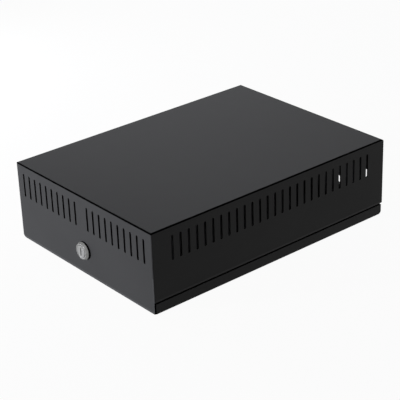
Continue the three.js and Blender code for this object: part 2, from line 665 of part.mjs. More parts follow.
// The turning plug, with its keyway in front and a square tail for the cam.
function lockPlug() {
  const face = -LOCK_HEAD_PROUD + LOCK_FACE_SINK - PLUG_RISE;
  const shoulder = CAM_START - SEAT_GAP;
  const tail = PLUG_TAIL_WIDTH / 2;
  const keyway = block(
    [-KEYWAY_OFFSET - KEYWAY_WIDTH / 2, -KEYWAY_OFFSET + KEYWAY_WIDTH / 2],
    [face - CUT_OVERRUN, face + KEYWAY_DEPTH],
    [-KEYWAY_HEIGHT / 2, KEYWAY_HEIGHT / 2],
  );
  const screwHole = rod(
    "y",
    CAM_SCREW_RADIUS + PLUG_PLAY,
    [CAM_END - CAM_SCREW_LENGTH - SEAT_GAP, CAM_END + CUT_OVERRUN],
    SMALL_SIDES,
  );
  return cut(
    join(
      rod("y", PLUG_RADIUS, [face, shoulder], LOCK_SIDES),
      block([-tail, tail], [0, CAM_END], [-tail, tail]),
    ),
    keyway,
    screwHole,
  );
}

// The cam hangs down from the plug's tail when the box is unlocked.
function lockCam() {
  const half = CAM_WIDTH / 2;
  const hole = PLUG_TAIL_WIDTH / 2 + PLUG_PLAY;
  const span = [CAM_START, CAM_END];
  const through = [CAM_START - CUT_OVERRUN, CAM_END + CUT_OVERRUN];
  const arm = roundedRectangle([-half, half], [-CAM_REACH, 0], [CAM_TIP_RADIUS, CAM_TIP_RADIUS, 0, 0]);
  return cut(
    join(rod("y", CAM_HUB_RADIUS, span, LOCK_SIDES), alongY(arm, span)),
    block([-hole, hole], through, [-hole, hole]),
  );
}

function camScrew() {
  const seat = CAM_END + SEAT_GAP;
  const end = seat + CAM_SCREW_HEAD_HEIGHT;
  const slot = CAM_SCREW_SLOT_WIDTH / 2;
  const across = CAM_SCREW_HEAD_RADIUS + CUT_OVERRUN;
  return cut(
    join(
      rod("y", CAM_SCREW_RADIUS, [CAM_END - CAM_SCREW_LENGTH, end], SMALL_SIDES),
      rod("y", CAM_SCREW_HEAD_RADIUS, [seat, end], LOCK_SIDES),
    ),
    block([-across, across], [end - CAM_SCREW_SLOT_DEPTH, end + CUT_OVERRUN], [-slot, slot]),
  );
}

function lock() {
  const pieces = [
    piece("lock_body", lockBody(), NICKEL),
    piece("lock_collar", lockCollar(), BLACK_PLASTIC),
    piece("lock_washer", lockWasher(), ZINC),
    piece("lock_nut", lockNut(), ZINC),
    piece("lock_plug", lockPlug(), NICKEL),
    piece("lock_cam", lockCam(), ZINC),
    piece("cam_screw", camScrew(), ZINC),
  ];
  return group(pieces, LOCK_OFFSET, -HALF_DEPTH, LOCK_HEIGHT);
}

// A bracket folded from sheet: foot on the floor, upright behind the cam, ledge over the locked cam.
function catchBracket() {
  const floor = SHEET + SEAT_GAP;
  const front = CATCH_UPRIGHT_FRONT;
  const ledgeFront = -HALF_DEPTH + CAM_START - CATCH_LEDGE_LAP;
  const ledgeLow = LOCK_HEIGHT + CAM_WIDTH / 2 + CATCH_PLAY;
  const profile = polygon([
    [front, floor],
    [front + CATCH_FOOT, floor],
    [front + CATCH_FOOT, floor + SHEET],
    [front + SHEET, floor + SHEET],
    [front + SHEET, ledgeLow + SHEET],
    [ledgeFront, ledgeLow + SHEET],
    [ledgeFront, ledgeLow],
    [front, ledgeLow],
  ]);
  const holes = studPlaces().map((at) =>
    rod("z", STUD_HOLE_RADIUS, [0, floor + SHEET + CUT_OVERRUN], SMALL_SIDES, at),
  );
  return cut(alongX(profile, [CATCH_RIGHT - CATCH_LENGTH, CATCH_RIGHT]), holes);
}

// A flush-headed stud pressed into the floor.
function catchStud(at) {
  const top = 2 * SHEET + 2 * SEAT_GAP + SMALL_NUT_THICKNESS + STUD_END;
  return join(
    rod("z", STUD_HEAD_RADIUS, [STUD_HEAD_SINK, SHEET], SMALL_SIDES, at),
    rod("z", STUD_RADIUS, [STUD_HEAD_SINK, top], SMALL_SIDES, at),
  );
}

function catchNut(at) {
  const seat = 2 * SHEET + 2 * SEAT_GAP;
  const through = [seat - CUT_OVERRUN, seat + SMALL_NUT_THICKNESS + CUT_OVERRUN];
  return cut(
    hexPrism("z", SMALL_NUT_FLATS, [seat, seat + SMALL_NUT_THICKNESS], at),
    rod("z", STUD_HOLE_RADIUS, through, SMALL_SIDES, at),
  );
}

function lockCatch() {
  const fixings = studPlaces().flatMap((at, i) => [
    piece(`catch_stud_${i + 1}`, catchStud(at), ZINC),
    piece(`catch_nut_${i + 1}`, catchNut(at), ZINC),
  ]);
  return group([piece("catch_bracket", catchBracket(), ZINC), ...fixings], 0, 0, 0);
}

// A rubber ring with a groove for the rear wall. The wall's outer face is at the origin.
function grommet({ bore, groove, lip }) {
  const near = SEAT_GAP;
  const far = -SHEET - SEAT_GAP;
  const bevel = GROMMET_LIP_BEVEL;
  return turned(
    [
      [bore, far - GROMMET_LIP],
      [lip - bevel, far - GROMMET_LIP],
      [lip, far - GROMMET_LIP + bevel],
      [lip, far],
      [groove, far],
      [groove, near],
      [lip, near],
      [lip, near + GROMMET_LIP - bevel],
      [lip - bevel, near + GROMMET_LIP],
      [bore, near + GROMMET_LIP],
      [bore, far - GROMMET_LIP],
    ],
    PORT_SIDES,
  );
}

function cablePorts() {
  const large = piece("cable_grommet_large", grommet(LARGE_PORT), BLACK_RUBBER);
  const small = piece("cable_grommet_small", grommet(SMALL_PORT), BLACK_RUBBER);
  return [
    group([large], LARGE_PORT_X, HALF_DEPTH, LARGE_PORT_HEIGHT),
    group([small], SMALL_PORT_X, HALF_DEPTH, SMALL_PORT_HEIGHT),
  ];
}

// The fan's frame: a duct between two square flanges, with struts at its outlet that carry the
// motor's base and spindle. The rear wall's outer face is at the origin, and the fan turns about Y.
function fanFrame() {
  const corner = FAN_CORNER_RADIUS;
  const square = [-FAN_HALF, FAN_HALF];
  const flange = roundedRectangle(square, square, [corner, corner, corner, corner]);
  const whole = [FAN_FRONT - CUT_OVERRUN, CUT_OVERRUN];
  const duct = cut(
    join(
      rod("y", FAN_DUCT_OUTER, [FAN_FRONT, FAN_REAR], FAN_SIDES),
      alongY(flange, [FAN_FRONT, FAN_FRONT + FAN_FLANGE_THICKNESS]),
      alongY(flange, [FAN_REAR - FAN_FLANGE_THICKNESS, FAN_REAR]),
    ),
    rod("y", FAN_DUCT_BORE, whole, FAN_SIDES),
    fanHolePlaces().map((at) => rod("y", FAN_SCREW_HOLE_RADIUS, whole, SMALL_SIDES, at)),
  );
  const base = [FAN_REAR - FAN_STRUT_THICKNESS, FAN_REAR];
  const reach = FAN_DUCT_BORE + FAN_DUCT_WALL / 2;
  const half = FAN_STRUT_WIDTH / 2;
  const struts = Array.from({ length: FAN_STRUT_COUNT }, (_, i) =>
    block([0, reach], base, [-half, half]).rotateY((i * 2 * Math.PI) / FAN_STRUT_COUNT),
  );
  return join(
    duct,
    struts,
    rod("y", FAN_MOTOR_RADIUS, base, FAN_SIDES),
    rod("y", FAN_SPINDLE_RADIUS, [base[0] - FAN_SPINDLE_LENGTH, FAN_REAR], SMALL_SIDES),
  );
}

// One blade: a thin arched section along Z, the radial direction of the first blade.
function fanBlade() {
  const edge = (side) =>
    Array.from({ length: BLADE_STEPS + 1 }, (_, i) => {
      const share = i / BLADE_STEPS - 1 / 2;
      const along = FAN_BLADE_CHORD * share;
      const arch = FAN_BLADE_CAMBER * (1 - 4 * share * share) + (side * FAN_BLADE_THICKNESS) / 2;
      return [
        along * Math.cos(FAN_BLADE_PITCH) - arch * Math.sin(FAN_BLADE_PITCH),
        along * Math.sin(FAN_BLADE_PITCH) + arch * Math.cos(FAN_BLADE_PITCH),
      ];
    });
  const rootShare = 0.8;
  return alongZ(polygon([...edge(-1), ...edge(1).reverse()]), [FAN_HUB_RADIUS * rootShare, FAN_HALF]);
}

function fanRotor() {
  const hubRear = FAN_REAR - FAN_STRUT_THICKNESS - FAN_HUB_GAP;
  const hub = [hubRear - FAN_HUB_LENGTH, hubRear];
  const middle = (hub[0] + hub[1]) / 2;
  const blades = Array.from({ length: FAN_BLADE_COUNT }, (_, i) =>
    fanBlade().translate(0, middle, 0).rotateY((i * 2 * Math.PI) / FAN_BLADE_COUNT),
  );
  const tip = rod("y", FAN_DUCT_BORE - FAN_TIP_GAP, [FAN_FRONT, 0], FAN_SIDES);
  const bore = rod(
    "y",
    FAN_SPINDLE_RADIUS + FAN_SPINDLE_PLAY,
    [hubRear - FAN_SPINDLE_LENGTH, hubRear + CUT_OVERRUN],
    SMALL_SIDES,
  );
  return cut(common(join(rod("y", FAN_HUB_RADIUS, hub, FAN_SIDES), blades), tip), bore);
}

// A flat finger guard outside the wall: rings, spokes and an eye for each screw.
function fanGuard() {
  const span = [SEAT_GAP, SEAT_GAP + GUARD_THICKNESS];
  const through = [-CUT_OVERRUN, span[1] + CUT_OVERRUN];
  const lastRadius = FAN_DUCT_BORE - GUARD_BAR / 2;
  const step = (lastRadius - GUARD_FIRST_RADIUS) / (GUARD_RING_COUNT - 1);
  const half = GUARD_BAR / 2;
  const rings = Array.from({ length: GUARD_RING_COUNT }, (_, i) => {
    const radius = GUARD_FIRST_RADIUS + i * step;
    return alongY(ring(radius + half, radius - half), span, FAN_SIDES / 2);
  });
  const reach = FAN_HOLE_PLACE * Math.SQRT2;
  const spokes = Array.from({ length: GUARD_SPOKE_COUNT }, (_, i) => {
    const angle = ((i + 1 / 2) * 2 * Math.PI) / GUARD_SPOKE_COUNT;
    return block([GUARD_FIRST_RADIUS, reach], span, [-half, half]).rotateY(angle);
  });
  const eye = FAN_SCREW_HOLE_RADIUS + GUARD_EYE_WIDTH;
  const eyes = fanHolePlaces().map((at) => rod("y", eye, span, PORT_SIDES, at));
  const holes = fanHolePlaces().map((at) => rod("y", FAN_SCREW_HOLE_RADIUS, through, SMALL_SIDES, at));
  return cut(join(rings, spokes, eyes), holes);
}

function fanScrew() {
  const seat = 2 * SEAT_GAP + GUARD_THICKNESS;
  const end = FAN_FRONT - SEAT_GAP - SMALL_NUT_THICKNESS - FAN_SCREW_END;
  return join(
    rod("y", FAN_SCREW_RADIUS, [end, seat], SMALL_SIDES),
    rod("y", FAN_SCREW_HEAD_RADIUS, [seat, seat + FAN_SCREW_HEAD_HEIGHT], PORT_SIDES),
  );
}

function fanNut() {
  const seat = FAN_FRONT - SEAT_GAP;
  const span = [seat - SMALL_NUT_THICKNESS, seat];
  const through = [span[0] - CUT_OVERRUN, span[1] + CUT_OVERRUN];
  return cut(
    hexPrism("y", SMALL_NUT_FLATS, span),
    rod("y", FAN_SCREW_HOLE_RADIUS, through, SMALL_SIDES),
  );
}

function fan() {
  const fixings = fanHolePlaces().flatMap(([x, z], i) => {
    const meshes = [
      piece(`fan_screw_${i + 1}`, fanScrew(), ZINC),
      piece(`fan_nut_${i + 1}`, fanNut(), ZINC),
    ];
    meshes.forEach((mesh) => mesh.position.set(x, 0, z));
    return meshes;
  });
  const pieces = [
    piece("fan_frame", fanFrame(), BLACK_PLASTIC),
    piece("fan_rotor", fanRotor(), BLACK_PLASTIC),
    piece("fan_guard", fanGuard(), ZINC),
    ...fixings,
  ];
  return group(pieces, FAN_X, HALF_DEPTH, FAN_Z);
}

const lockBox = new THREE.Group();
lockBox.add(
  piece("base_tray", baseTray(), BLACK_COAT),
  piece("skirt_left", skirtStrip(-1), BLACK_COAT),
  piece("skirt_right", skirtStrip(1), BLACK_COAT),
  piece("cover_shell", coverShell(), BLACK_COAT),
  hinge("left", -HINGE_X),
  hinge("right", HINGE_X),
  lock(),
  lockCatch(),
  ...cablePorts(),
  fan(),
);

export default lockBox;
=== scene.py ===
"""Looks of a black steel lock box for a small video recorder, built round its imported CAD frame.

Meshes are shaped in millimetres and end in metres. +X is to the right seen from the front, +Y to
the rear and +Z up, and the box stands on Z = 0.
"""

import logging
import math
from collections.abc import Iterable, Sequence
from dataclasses import dataclass, field
from enum import Enum
from typing import Any

import bmesh
import bpy
from mathutils import Matrix, Vector


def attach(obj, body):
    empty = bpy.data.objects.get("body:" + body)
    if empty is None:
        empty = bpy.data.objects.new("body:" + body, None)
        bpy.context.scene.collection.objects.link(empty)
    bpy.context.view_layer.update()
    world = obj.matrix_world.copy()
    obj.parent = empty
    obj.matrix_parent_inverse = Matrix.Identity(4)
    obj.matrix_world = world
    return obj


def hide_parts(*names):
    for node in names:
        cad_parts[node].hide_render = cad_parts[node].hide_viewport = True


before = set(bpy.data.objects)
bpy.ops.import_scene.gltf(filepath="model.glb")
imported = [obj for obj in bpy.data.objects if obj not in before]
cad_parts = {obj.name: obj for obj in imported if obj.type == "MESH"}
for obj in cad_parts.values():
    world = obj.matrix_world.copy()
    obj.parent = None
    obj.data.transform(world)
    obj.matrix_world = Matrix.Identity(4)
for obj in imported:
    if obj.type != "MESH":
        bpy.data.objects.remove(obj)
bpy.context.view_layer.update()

LOG = logging.getLogger("lock_box")
MM = 0.001
OVERRUN = 5.0  # how far a cutting tool runs past the face that it leaves
WELD = 1e-4  # vertices this close are one
NEAR = 0.01  # points this close to a line lie on it
SHARP_ANGLE = math.radians(40.0)  # edges that turn more are eased
SOFT_ANGLE = math.radians(42.0)  # edges that turn less are shaded soft
EASE_STEPS = 2
ARC_SHARE = 0.999  # of half a slot's width, which leaves its round end a short flat
NUT_CHAMFER_SHARE = 0.9  # height of a nut's chamfer, of what its corner reaches past the flats
NUT_FACE_SHARE = 0.97  # end face, of the width across flats
NUT_CORNER_SHARE = 1.01  # widest part of the chamfered shape, of the corner
NUT_MOUTH_SHARE = 1.12  # widened mouth, of the bore
NUT_ROOT_SHARE = 0.08  # depth of the thread's roots, of the bore
NUT_THREADS = 5
MOUTH_SHARES = (0.3, 0.6)  # end of the mouth and start of the thread, of the pitch
FINE_PITCH, FINE_ROOT = 0.7, 0.3  # thread of the small screws and studs
WHITE = (1.0, 1.0, 1.0, 1.0)

Mesh = bmesh.types.BMesh
Pair = tuple[float, float]
Triple = tuple[float, float, float]


class Along(Enum):
    """The axis that a bar, plate or turned body runs along."""

    X = (1, 2, 0)
    Y = (0, 2, 1)
    Z = (0, 1, 2)

    def point(self, u: float, v: float, w: float) -> Vector:
        """Gives a point in space.

        Args:
            u: Place on the first axis across.
            v: Place on the second axis across.
            w: Place along the axis.

        Returns:
            The point with its three values in X, Y, Z order.
        """
        place = Vector((0.0, 0.0, 0.0))
        for axis, value in zip(self.value, (u, v, w)):
            place[axis] = value
        return place


class Body(Enum):
    """The frame's bodies that pieces ride on."""

    BASE = "base"
    COVER = "cover"
    LOCK = "lock"
    ROTOR = "rotor"


class Slot(Enum):
    """The record's material slots."""

    BLACK_COAT = "black_coat"
    NICKEL = "nickel"
    ZINC = "zinc"
    BLACK_RUBBER = "black_rubber"
    BLACK_PLASTIC = "black_plastic"


class Grain(Enum):
    """Direction of the fine tool marks in a metal surface."""

    TUMBLED = "tumbled"
    TURNED = "turned"
    ROLLED = "rolled"


# Shader maths


class Signal:
    """A node's output that takes part in Python expressions on values."""

    def __init__(self, graph: "Graph", socket: bpy.types.NodeSocket) -> None:
        """Wraps one output socket of a graph."""
        self.graph = graph
        self.socket = socket

    def math(self, operation: str, *others: Any, swapped: bool = False) -> "Signal":
        """Adds a Math node.

        Args:
            operation: Name of the Math node's operation.
            others: Values or signals that it takes besides this one.
            swapped: True if this signal comes second.

        Returns:
            The node's value.
        """
        values = [*others, self] if swapped else [self, *others]
        return self.graph.node("Math", {"operation": operation}, dict(enumerate(values)))

    def __add__(self, other: Any) -> "Signal":
        """Sum."""
        return self.math("ADD", other)

    __radd__ = __add__

    def __sub__(self, other: Any) -> "Signal":
        """Difference."""
        return self.math("SUBTRACT", other)

    def __rsub__(self, other: Any) -> "Signal":
        """Difference from a number."""
        return self.math("SUBTRACT", other, swapped=True)

    def __mul__(self, other: Any) -> "Signal":
        """Product."""
        return self.math("MULTIPLY", other)

    __rmul__ = __mul__

    def most(self, other: Any) -> "Signal":
        """The greater of two values."""
        return self.math("MAXIMUM", other)

    def size(self) -> "Signal":
        """The value without its sign."""
        return self.math("ABSOLUTE")

    def step(self, low: float, high: float) -> "Signal":
        """Rises smoothly from 0 at low to 1 at high.

        Args:
            low: Value where the rise starts.
            high: Value where it ends.

        Returns:
            The risen value, from 0 to 1.
        """
        settings = {"interpolation_type": "SMOOTHSTEP", "clamp": True}
        return self.graph.node("MapRange", settings, {0: self, 1: low, 2: high})

    def split(self) -> list["Signal"]:
        """The X, Y and Z of a vector."""
        parts = self.graph.node("SeparateXYZ", {}, {0: self}).socket.node.outputs
        return [Signal(self.graph, part) for part in parts]


class Graph:
    """The node tree of a material or of the world."""

    def __init__(self, owner: bpy.types.Material | bpy.types.World) -> None:
        """Empties the owner's node tree to build a new one in it.

        Args:
            owner: The material or world.
        """
        owner.use_nodes = True
        self.owner = owner
        self.tree = owner.node_tree
        self.tree.nodes.clear()

    def node(self, kind: str, settings: dict[str, Any], sockets: dict[Any, Any], out: Any = 0) -> Signal:
        """Adds a node.

        Args:
            kind: Type of the node, without ShaderNode at its start.
            settings: Its own settings, which are set first.
            sockets: Values or signals for its inputs, by name or number.
            out: Name or number of the output that is wanted.

        Returns:
            That output, or the first input of a node that ends the tree.
        """
        made = self.tree.nodes.new(f"ShaderNode{kind}")
        for name, value in settings.items():
            setattr(made, name, value)
        for name, value in sockets.items():
            if isinstance(value, Signal):
                self.tree.links.new(value.socket, made.inputs[name])
            else:
                made.inputs[name].default_value = value
        return Signal(self, made.outputs[out] if len(made.outputs) else made.inputs[0])

    def place(self) -> Signal:
        """The point that is shaded, on the piece's own axes."""
        return self.node("TexCoord", {}, {}, "Object")

    def noise(self, where: Signal, width: float, detail: float, stretch: Triple = (1, 1, 1)) -> Signal:
        """Adds soft noise with a mean of about 0.5.

        Args:
            where: The point.
            width: Width of its spots in millimetres.
            detail: Octaves of finer noise.
            stretch: Share of the scale on each axis.

        Returns:
            The noise.
        """
        scaled = self.node("Mapping", {}, {"Vector": where, "Scale": stretch})
        return self.node("TexNoise", {}, {"Vector": scaled, "Scale": 1.0 / (width * MM), "Detail": detail})

    def mix(self, share: Any, first: Any, second: Any) -> Signal:
        """Mixes two colours by the share of the second."""
        settings = {"data_type": "RGBA", "blend_type": "MIX"}
        return self.node("Mix", settings, {0: share, 6: first, 7: second}, 2)

    def bump(self, height: Signal, depth: float) -> Signal:
        """Adds relief of a depth in millimetres, for a height from 0 to 1."""
        return self.node("Bump", {}, {"Height": height, "Distance": depth * MM})

    def surface(self, sockets: dict[str, Any]) -> Signal:
        """Adds a Principled shader."""
        return self.node("BsdfPrincipled", {}, sockets)

    def finish(self, shader: Signal, kind: str = "OutputMaterial") -> Any:
        """Ends the tree with a shader, and gives its material or world."""
        self.node(kind, {}, {"Surface": shader})
        return self.owner


def rgba(colour: Triple, level: float = 1.0) -> tuple[float, float, float, float]:
    """A colour for a socket, scaled by a level."""
    return (colour[0] * level, colour[1] * level, colour[2] * level, 1.0)


# Finishes


@dataclass(frozen=True)
class Zone:
    """A stretch of a piece, held by limits on its axes in millimetres. X counts from the middle plane."""

    x: Pair | None = None
    y: Pair | None = None
    z: Pair | None = None
    soft: float = 0.3
    level: float = 1.0

    def share(self, graph: Graph, where: Signal) -> Signal:
        """Share of the zone at a point.

        Args:
            graph: The material's graph, which is not used.
            where: The point.

        Returns:
            The level inside the zone and 0 outside, with a soft border.
        """
        x, y, z = where.split()
        inside: Any = self.level
        for value, limits in ((x.size(), self.x), (y, self.y), (z, self.z)):
            if limits is not None:
                half = (limits[1] - limits[0]) / 2
                offset = (value - (limits[0] + half) * MM).size()
                low, high = (half - self.soft / 2) * MM, (half + self.soft / 2) * MM
                inside = (1.0 - offset.step(low, high)) * inside
        return inside


def zones_share(zones: Sequence[Zone], graph: Graph, where: Signal) -> Any:
    """Share of the strongest of several zones at a point.

    Args:
        zones: The zones.
        graph: The material's graph.
        where: The point.

    Returns:
        The share, which is 0 where no zone reaches.
    """
    share: Any = 0.0
    for zone in zones:
        share = zone.share(graph, where).most(share)
    return share


@dataclass(frozen=True)
class PowderCoat:
    """Satin black powder coat with fine orange peel, painted shade in gaps, slots and bends, and painted edge
    highlights.
    """

    name: str = "satin_black_coat"
    slot: Slot = Slot.BLACK_COAT
    colour: Triple = (0.0445, 0.0445, 0.0445)
    roughness: float = 0.52
    refraction: float = 1.13
    peel_width: float = 0.9
    peel_depth: float = 0.012
    peel_roughness: float = 0.12
    peel_share: float = 0.8
    cloud_width: float = 70.0
    cloud_roughness: float = 0.05
    cloud_share: float = 0.6
    cloud_levels: Pair = (0.3, 0.7)
    tone_levels: Pair = (0.93, 1.07)
    # Zones of painted shade: a near-black, almost unreflecting coat stands in for the shade in gaps, on slot
    # walls and along bends.
    painted_shade_zones: tuple[Zone, ...] = ()
    painted_shade_level: float = 0.03
    painted_shade_roughness: float = 0.9
    painted_shade_refraction: float = 1.02
    # Zones of painted highlight: a lighter colour stands in for light caught along edges.
    painted_highlight_zones: tuple[Zone, ...] = ()
    painted_highlight_level: float = 3.0

    def material(self) -> bpy.types.Material:
        """Builds the material.

        Returns:
            The material.
        """
        graph = Graph(bpy.data.materials.new(self.name))
        where = graph.place()
        peel = graph.noise(where, self.peel_width, 3.0)
        speck = graph.noise(where, self.peel_width / 3, 1.0)
        cloud = graph.noise(where, self.cloud_width, 2.0)
        tone = cloud.step(*self.cloud_levels) * self.cloud_share + speck * (1.0 - self.cloud_share)
        colour = graph.mix(tone, *(rgba(self.colour, level) for level in self.tone_levels))
        # Painted highlight: the colour is lightened inside its zones.
        if self.painted_highlight_zones:
            pale = zones_share(self.painted_highlight_zones, graph, where)
            colour = graph.mix(pale, colour, rgba(self.colour, self.painted_highlight_level))
        rough = self.roughness + self.cloud_roughness * (cloud - 0.5) + self.peel_roughness * (peel - 0.5)
        relief = peel * self.peel_share + speck * (1.0 - self.peel_share)
        normal = graph.bump(relief, self.peel_depth)
        shader = graph.surface(
            {"Base Color": colour, "Roughness": rough, "IOR": self.refraction, "Normal": normal}
        )
        # Painted shade: a near-black shader is mixed in inside its zones.
        if self.painted_shade_zones:
            unlit = rgba(self.colour, self.painted_shade_level)
            deep = graph.surface(
                {"Base Color": unlit, "Roughness": self.painted_shade_roughness, "IOR": self.painted_shade_refraction}
            )
            share = zones_share(self.painted_shade_zones, graph, where)
            shader = graph.node("MixShader", {}, {0: share, 1: shader, 2: deep})
        return graph.finish(shader)


@dataclass(frozen=True)
class Plating:
    """Plated metal with tool marks under the plating."""

    name: str
    slot: Slot
    colour: Triple
    shade: Triple
    roughness: float
    grain: Grain = Grain.TUMBLED
    mark_width: float = 0.25
    mark_depth: float = 0.004
    centre: Triple = (0.0, 0.0, 0.0)
    mark_roughness: float = 0.12
    mark_stretch: float = 0.08
    ring_scale: float = 0.3
    ring_waver: float = 1.5
    cloud_width: float = 6.0
    cloud_levels: Pair = (0.35, 0.7)
    cloud_roughness: float = 0.1

    def marks(self, graph: Graph, where: Signal) -> Signal:
        """Fine tool marks, from 0 to 1.

        Args:
            graph: The material's graph.
            where: The point.

        Returns:
            The marks' height.
        """
        if self.grain is Grain.TURNED:
            shift = tuple(-value * MM for value in self.centre)
            centred = graph.node("Mapping", {}, {"Vector": where, "Location": shift})
            settings = {"wave_type": "RINGS", "rings_direction": "Y"}
            scale = self.ring_scale / (self.mark_width * MM)
            sockets = {"Vector": centred, "Scale": scale, "Distortion": self.ring_waver, "Detail": 2.0}
            return graph.node("TexWave", settings, sockets, 1)
        stretch = (self.mark_stretch, 1.0, 1.0) if self.grain is Grain.ROLLED else (1.0, 1.0, 1.0)
        return graph.noise(where, self.mark_width, 3.0, stretch)

    def material(self) -> bpy.types.Material:
        """Builds the material.

        Returns:
            The material.
        """
        graph = Graph(bpy.data.materials.new(self.name))
        where = graph.place()
        marks = self.marks(graph, where)
        cloud = graph.noise(where, self.cloud_width, 3.0)
        colour = graph.mix(cloud.step(*self.cloud_levels), rgba(self.colour), rgba(self.shade))
        rough = self.roughness + self.cloud_roughness * (cloud - 0.5) + self.mark_roughness * (marks - 0.5)
        normal = graph.bump(marks, self.mark_depth)
        sockets = {"Base Color": colour, "Metallic": 1.0, "Roughness": rough, "Normal": normal}
        return graph.finish(graph.surface(sockets))


@dataclass(frozen=True)
class Moulding:
    """Moulded plastic or rubber with the fine texture of its mould."""

    name: str
    slot: Slot
    colour: Triple
    roughness: float
    refraction: float = 1.45
    texture_width: float = 0.35
    texture_depth: float = 0.008
    dust: float = 0.0
    texture_roughness: float = 0.08
    cloud_width: float = 9.0
    cloud_levels: Pair = (0.4, 0.75)
    cloud_roughness: float = 0.1

    def material(self) -> bpy.types.Material:
        """Builds the material.

        Returns:
            The material.
        """
        graph = Graph(bpy.data.materials.new(self.name))
        where = graph.place()
        texture = graph.noise(where, self.texture_width, 2.0)
        cloud = graph.noise(where, self.cloud_width, 3.0)
        pale = tuple(value + self.dust for value in self.colour)
        colour = graph.mix(cloud.step(*self.cloud_levels), rgba(self.colour), rgba(pale))
        rough = self.roughness + self.cloud_roughness * (cloud - 0.5)
        rough += self.texture_roughness * (texture - 0.5)
        normal = graph.bump(texture, self.texture_depth)
        sockets = {"Base Color": colour, "Roughness": rough, "IOR": self.refraction, "Normal": normal}
        return graph.finish(graph.surface(sockets))


Finish = PowderCoat | Plating | Moulding

COVER_COAT = PowderCoat(
    name="folded_black_coat",
    # Painted shade: dark lines along the top bends, on the slots' walls, in the gaps at the front's lower
    # corners and down the rear edges.
    painted_shade_zones=(
        Zone(x=(127.7, 131.0), z=(98.9, 101.0)),
        Zone(y=(-181.0, -178.5), z=(98.5, 101.0)),
        Zone(x=(-1.0, 119.0), y=(-179.94, -178.6), z=(58.0, 89.7), soft=0.06),
        Zone(x=(128.6, 129.94), y=(-157.0, 157.0), z=(58.0, 89.7), soft=0.06),
        Zone(x=(129.0, 131.0), y=(-179.7, -177.0), z=(-1.0, 14.6)),
        Zone(x=(128.0, 131.0), y=(178.8, 181.0), level=0.6),
    ),
    # Painted highlights: light lines along the sides' lower edges, along the front's lower edge and down the
    # front's lower side edges.
    painted_highlight_zones=(
        Zone(x=(129.0, 131.0), z=(14.0, 17.0), level=0.3),
        Zone(y=(-181.0, -179.0), z=(0.0, 3.2), level=0.25),
        Zone(x=(128.2, 131.0), y=(-181.0, -179.4), z=(-1.0, 45.0), level=0.4, soft=1.5),
    ),
)
TRAY_COAT = PowderCoat(
    name="tray_black_coat",
    # Painted shade on the walls' outer sides in the gap under the cover's edge, and at the front corners.
    painted_shade_zones=(Zone(x=(127.7, 129.0), z=(9.0, 20.0), soft=1.0), Zone(x=(124.0, 129.0), y=(-179.0, -174.0))),
)
# Painted shadow along the strips' tops under the cover's edge, and painted shade at their front ends.
SKIRT_COAT = PowderCoat(name="skirt_black_coat", painted_shade_zones=(Zone(z=(12.4, 14.0)), Zone(y=(-179.0, -177.8))))
LOCK_CENTRE = (1.9, -180.0, 31.5)
NICKEL_PLATE = Plating(
    "satin_nickel", Slot.NICKEL, (0.27, 0.27, 0.265), (0.22, 0.22, 0.215), 0.5,
    Grain.TURNED, 0.3, 0.003, LOCK_CENTRE,
)
BRIGHT_ZINC = Plating("bright_zinc", Slot.ZINC, (0.56, 0.57, 0.6), (0.45, 0.47, 0.5), 0.34)
ROLLED_ZINC = Plating(
    "rolled_zinc", Slot.ZINC, (0.54, 0.55, 0.58), (0.44, 0.46, 0.49), 0.4, Grain.ROLLED, 0.2
)
MATT_RUBBER = Moulding("matt_rubber", Slot.BLACK_RUBBER, (0.014, 0.014, 0.015), 0.82, 1.4, 0.5, 0.01, 0.008)
FAN_PLASTIC = Moulding(
    "fan_plastic", Slot.BLACK_PLASTIC, (0.017, 0.017, 0.018), 0.46, 1.42, 0.3, 0.006, 0.004
)
COLLAR_PLASTIC = Moulding("collar_plastic", Slot.BLACK_PLASTIC, (0.004, 0.004, 0.004), 0.7, 1.1, 0.4, 0.004)


# Shaping meshes


def turn_out(mesh: Mesh) -> Mesh:
    """Merges doubles and turns every face of a closed mesh outwards.

    Args:
        mesh: The mesh, which is changed.

    Returns:
        The same mesh.
    """
    bmesh.ops.remove_doubles(mesh, verts=mesh.verts[:], dist=WELD)
    bmesh.ops.dissolve_degenerate(mesh, edges=mesh.edges[:], dist=WELD / 10)
    bmesh.ops.recalc_face_normals(mesh, faces=mesh.faces[:])
    return mesh


def data_of(mesh: Mesh, name: str) -> bpy.types.Mesh:
    """Makes mesh data from a mesh.

    Args:
        mesh: The mesh, which is used up.
        name: Name of the data.

    Returns:
        The mesh data.
    """
    data = bpy.data.meshes.new(name)
    mesh.to_mesh(data)
    mesh.free()
    return data


def stand(name: str, data: Any) -> bpy.types.Object:
    """A new object in the scene.

    Args:
        name: Name of the object.
        data: Its mesh, lamp or camera data.

    Returns:
        The object.
    """
    made = bpy.data.objects.new(name, data)
    bpy.context.scene.collection.objects.link(made)
    return made


def moved(mesh: Mesh, matrix: Matrix) -> Mesh:
    """The same mesh after a move, turn or scaling."""
    bmesh.ops.transform(mesh, matrix=matrix, verts=mesh.verts[:])
    return mesh


def gather(meshes: Iterable[Mesh]) -> Mesh:
    """Puts several meshes into one.

    Args:
        meshes: The meshes, which are used up.

    Returns:
        The mesh that holds them all.
    """
    whole = bmesh.new()
    for mesh in meshes:
        data = data_of(mesh, "gathered")
        whole.from_mesh(data)
        bpy.data.meshes.remove(data)
    return whole


def bevel(mesh: Mesh, geom: Sequence[Any], width: float, steps: int, affect: str = "EDGES") -> Mesh:
    """Rounds edges or corners.

    Args:
        mesh: The mesh, which is changed.
        geom: The edges or corners.
        width: Width of the rounding.
        steps: Facets of the rounding.
        affect: EDGES or VERTICES.

    Returns:
        The same mesh.
    """
    bmesh.ops.bevel(
        mesh, geom=geom, offset=width, offset_type="OFFSET", segments=steps, profile=0.5,
        affect=affect, clamp_overlap=affect == "EDGES", material=-1,
    )
    return mesh


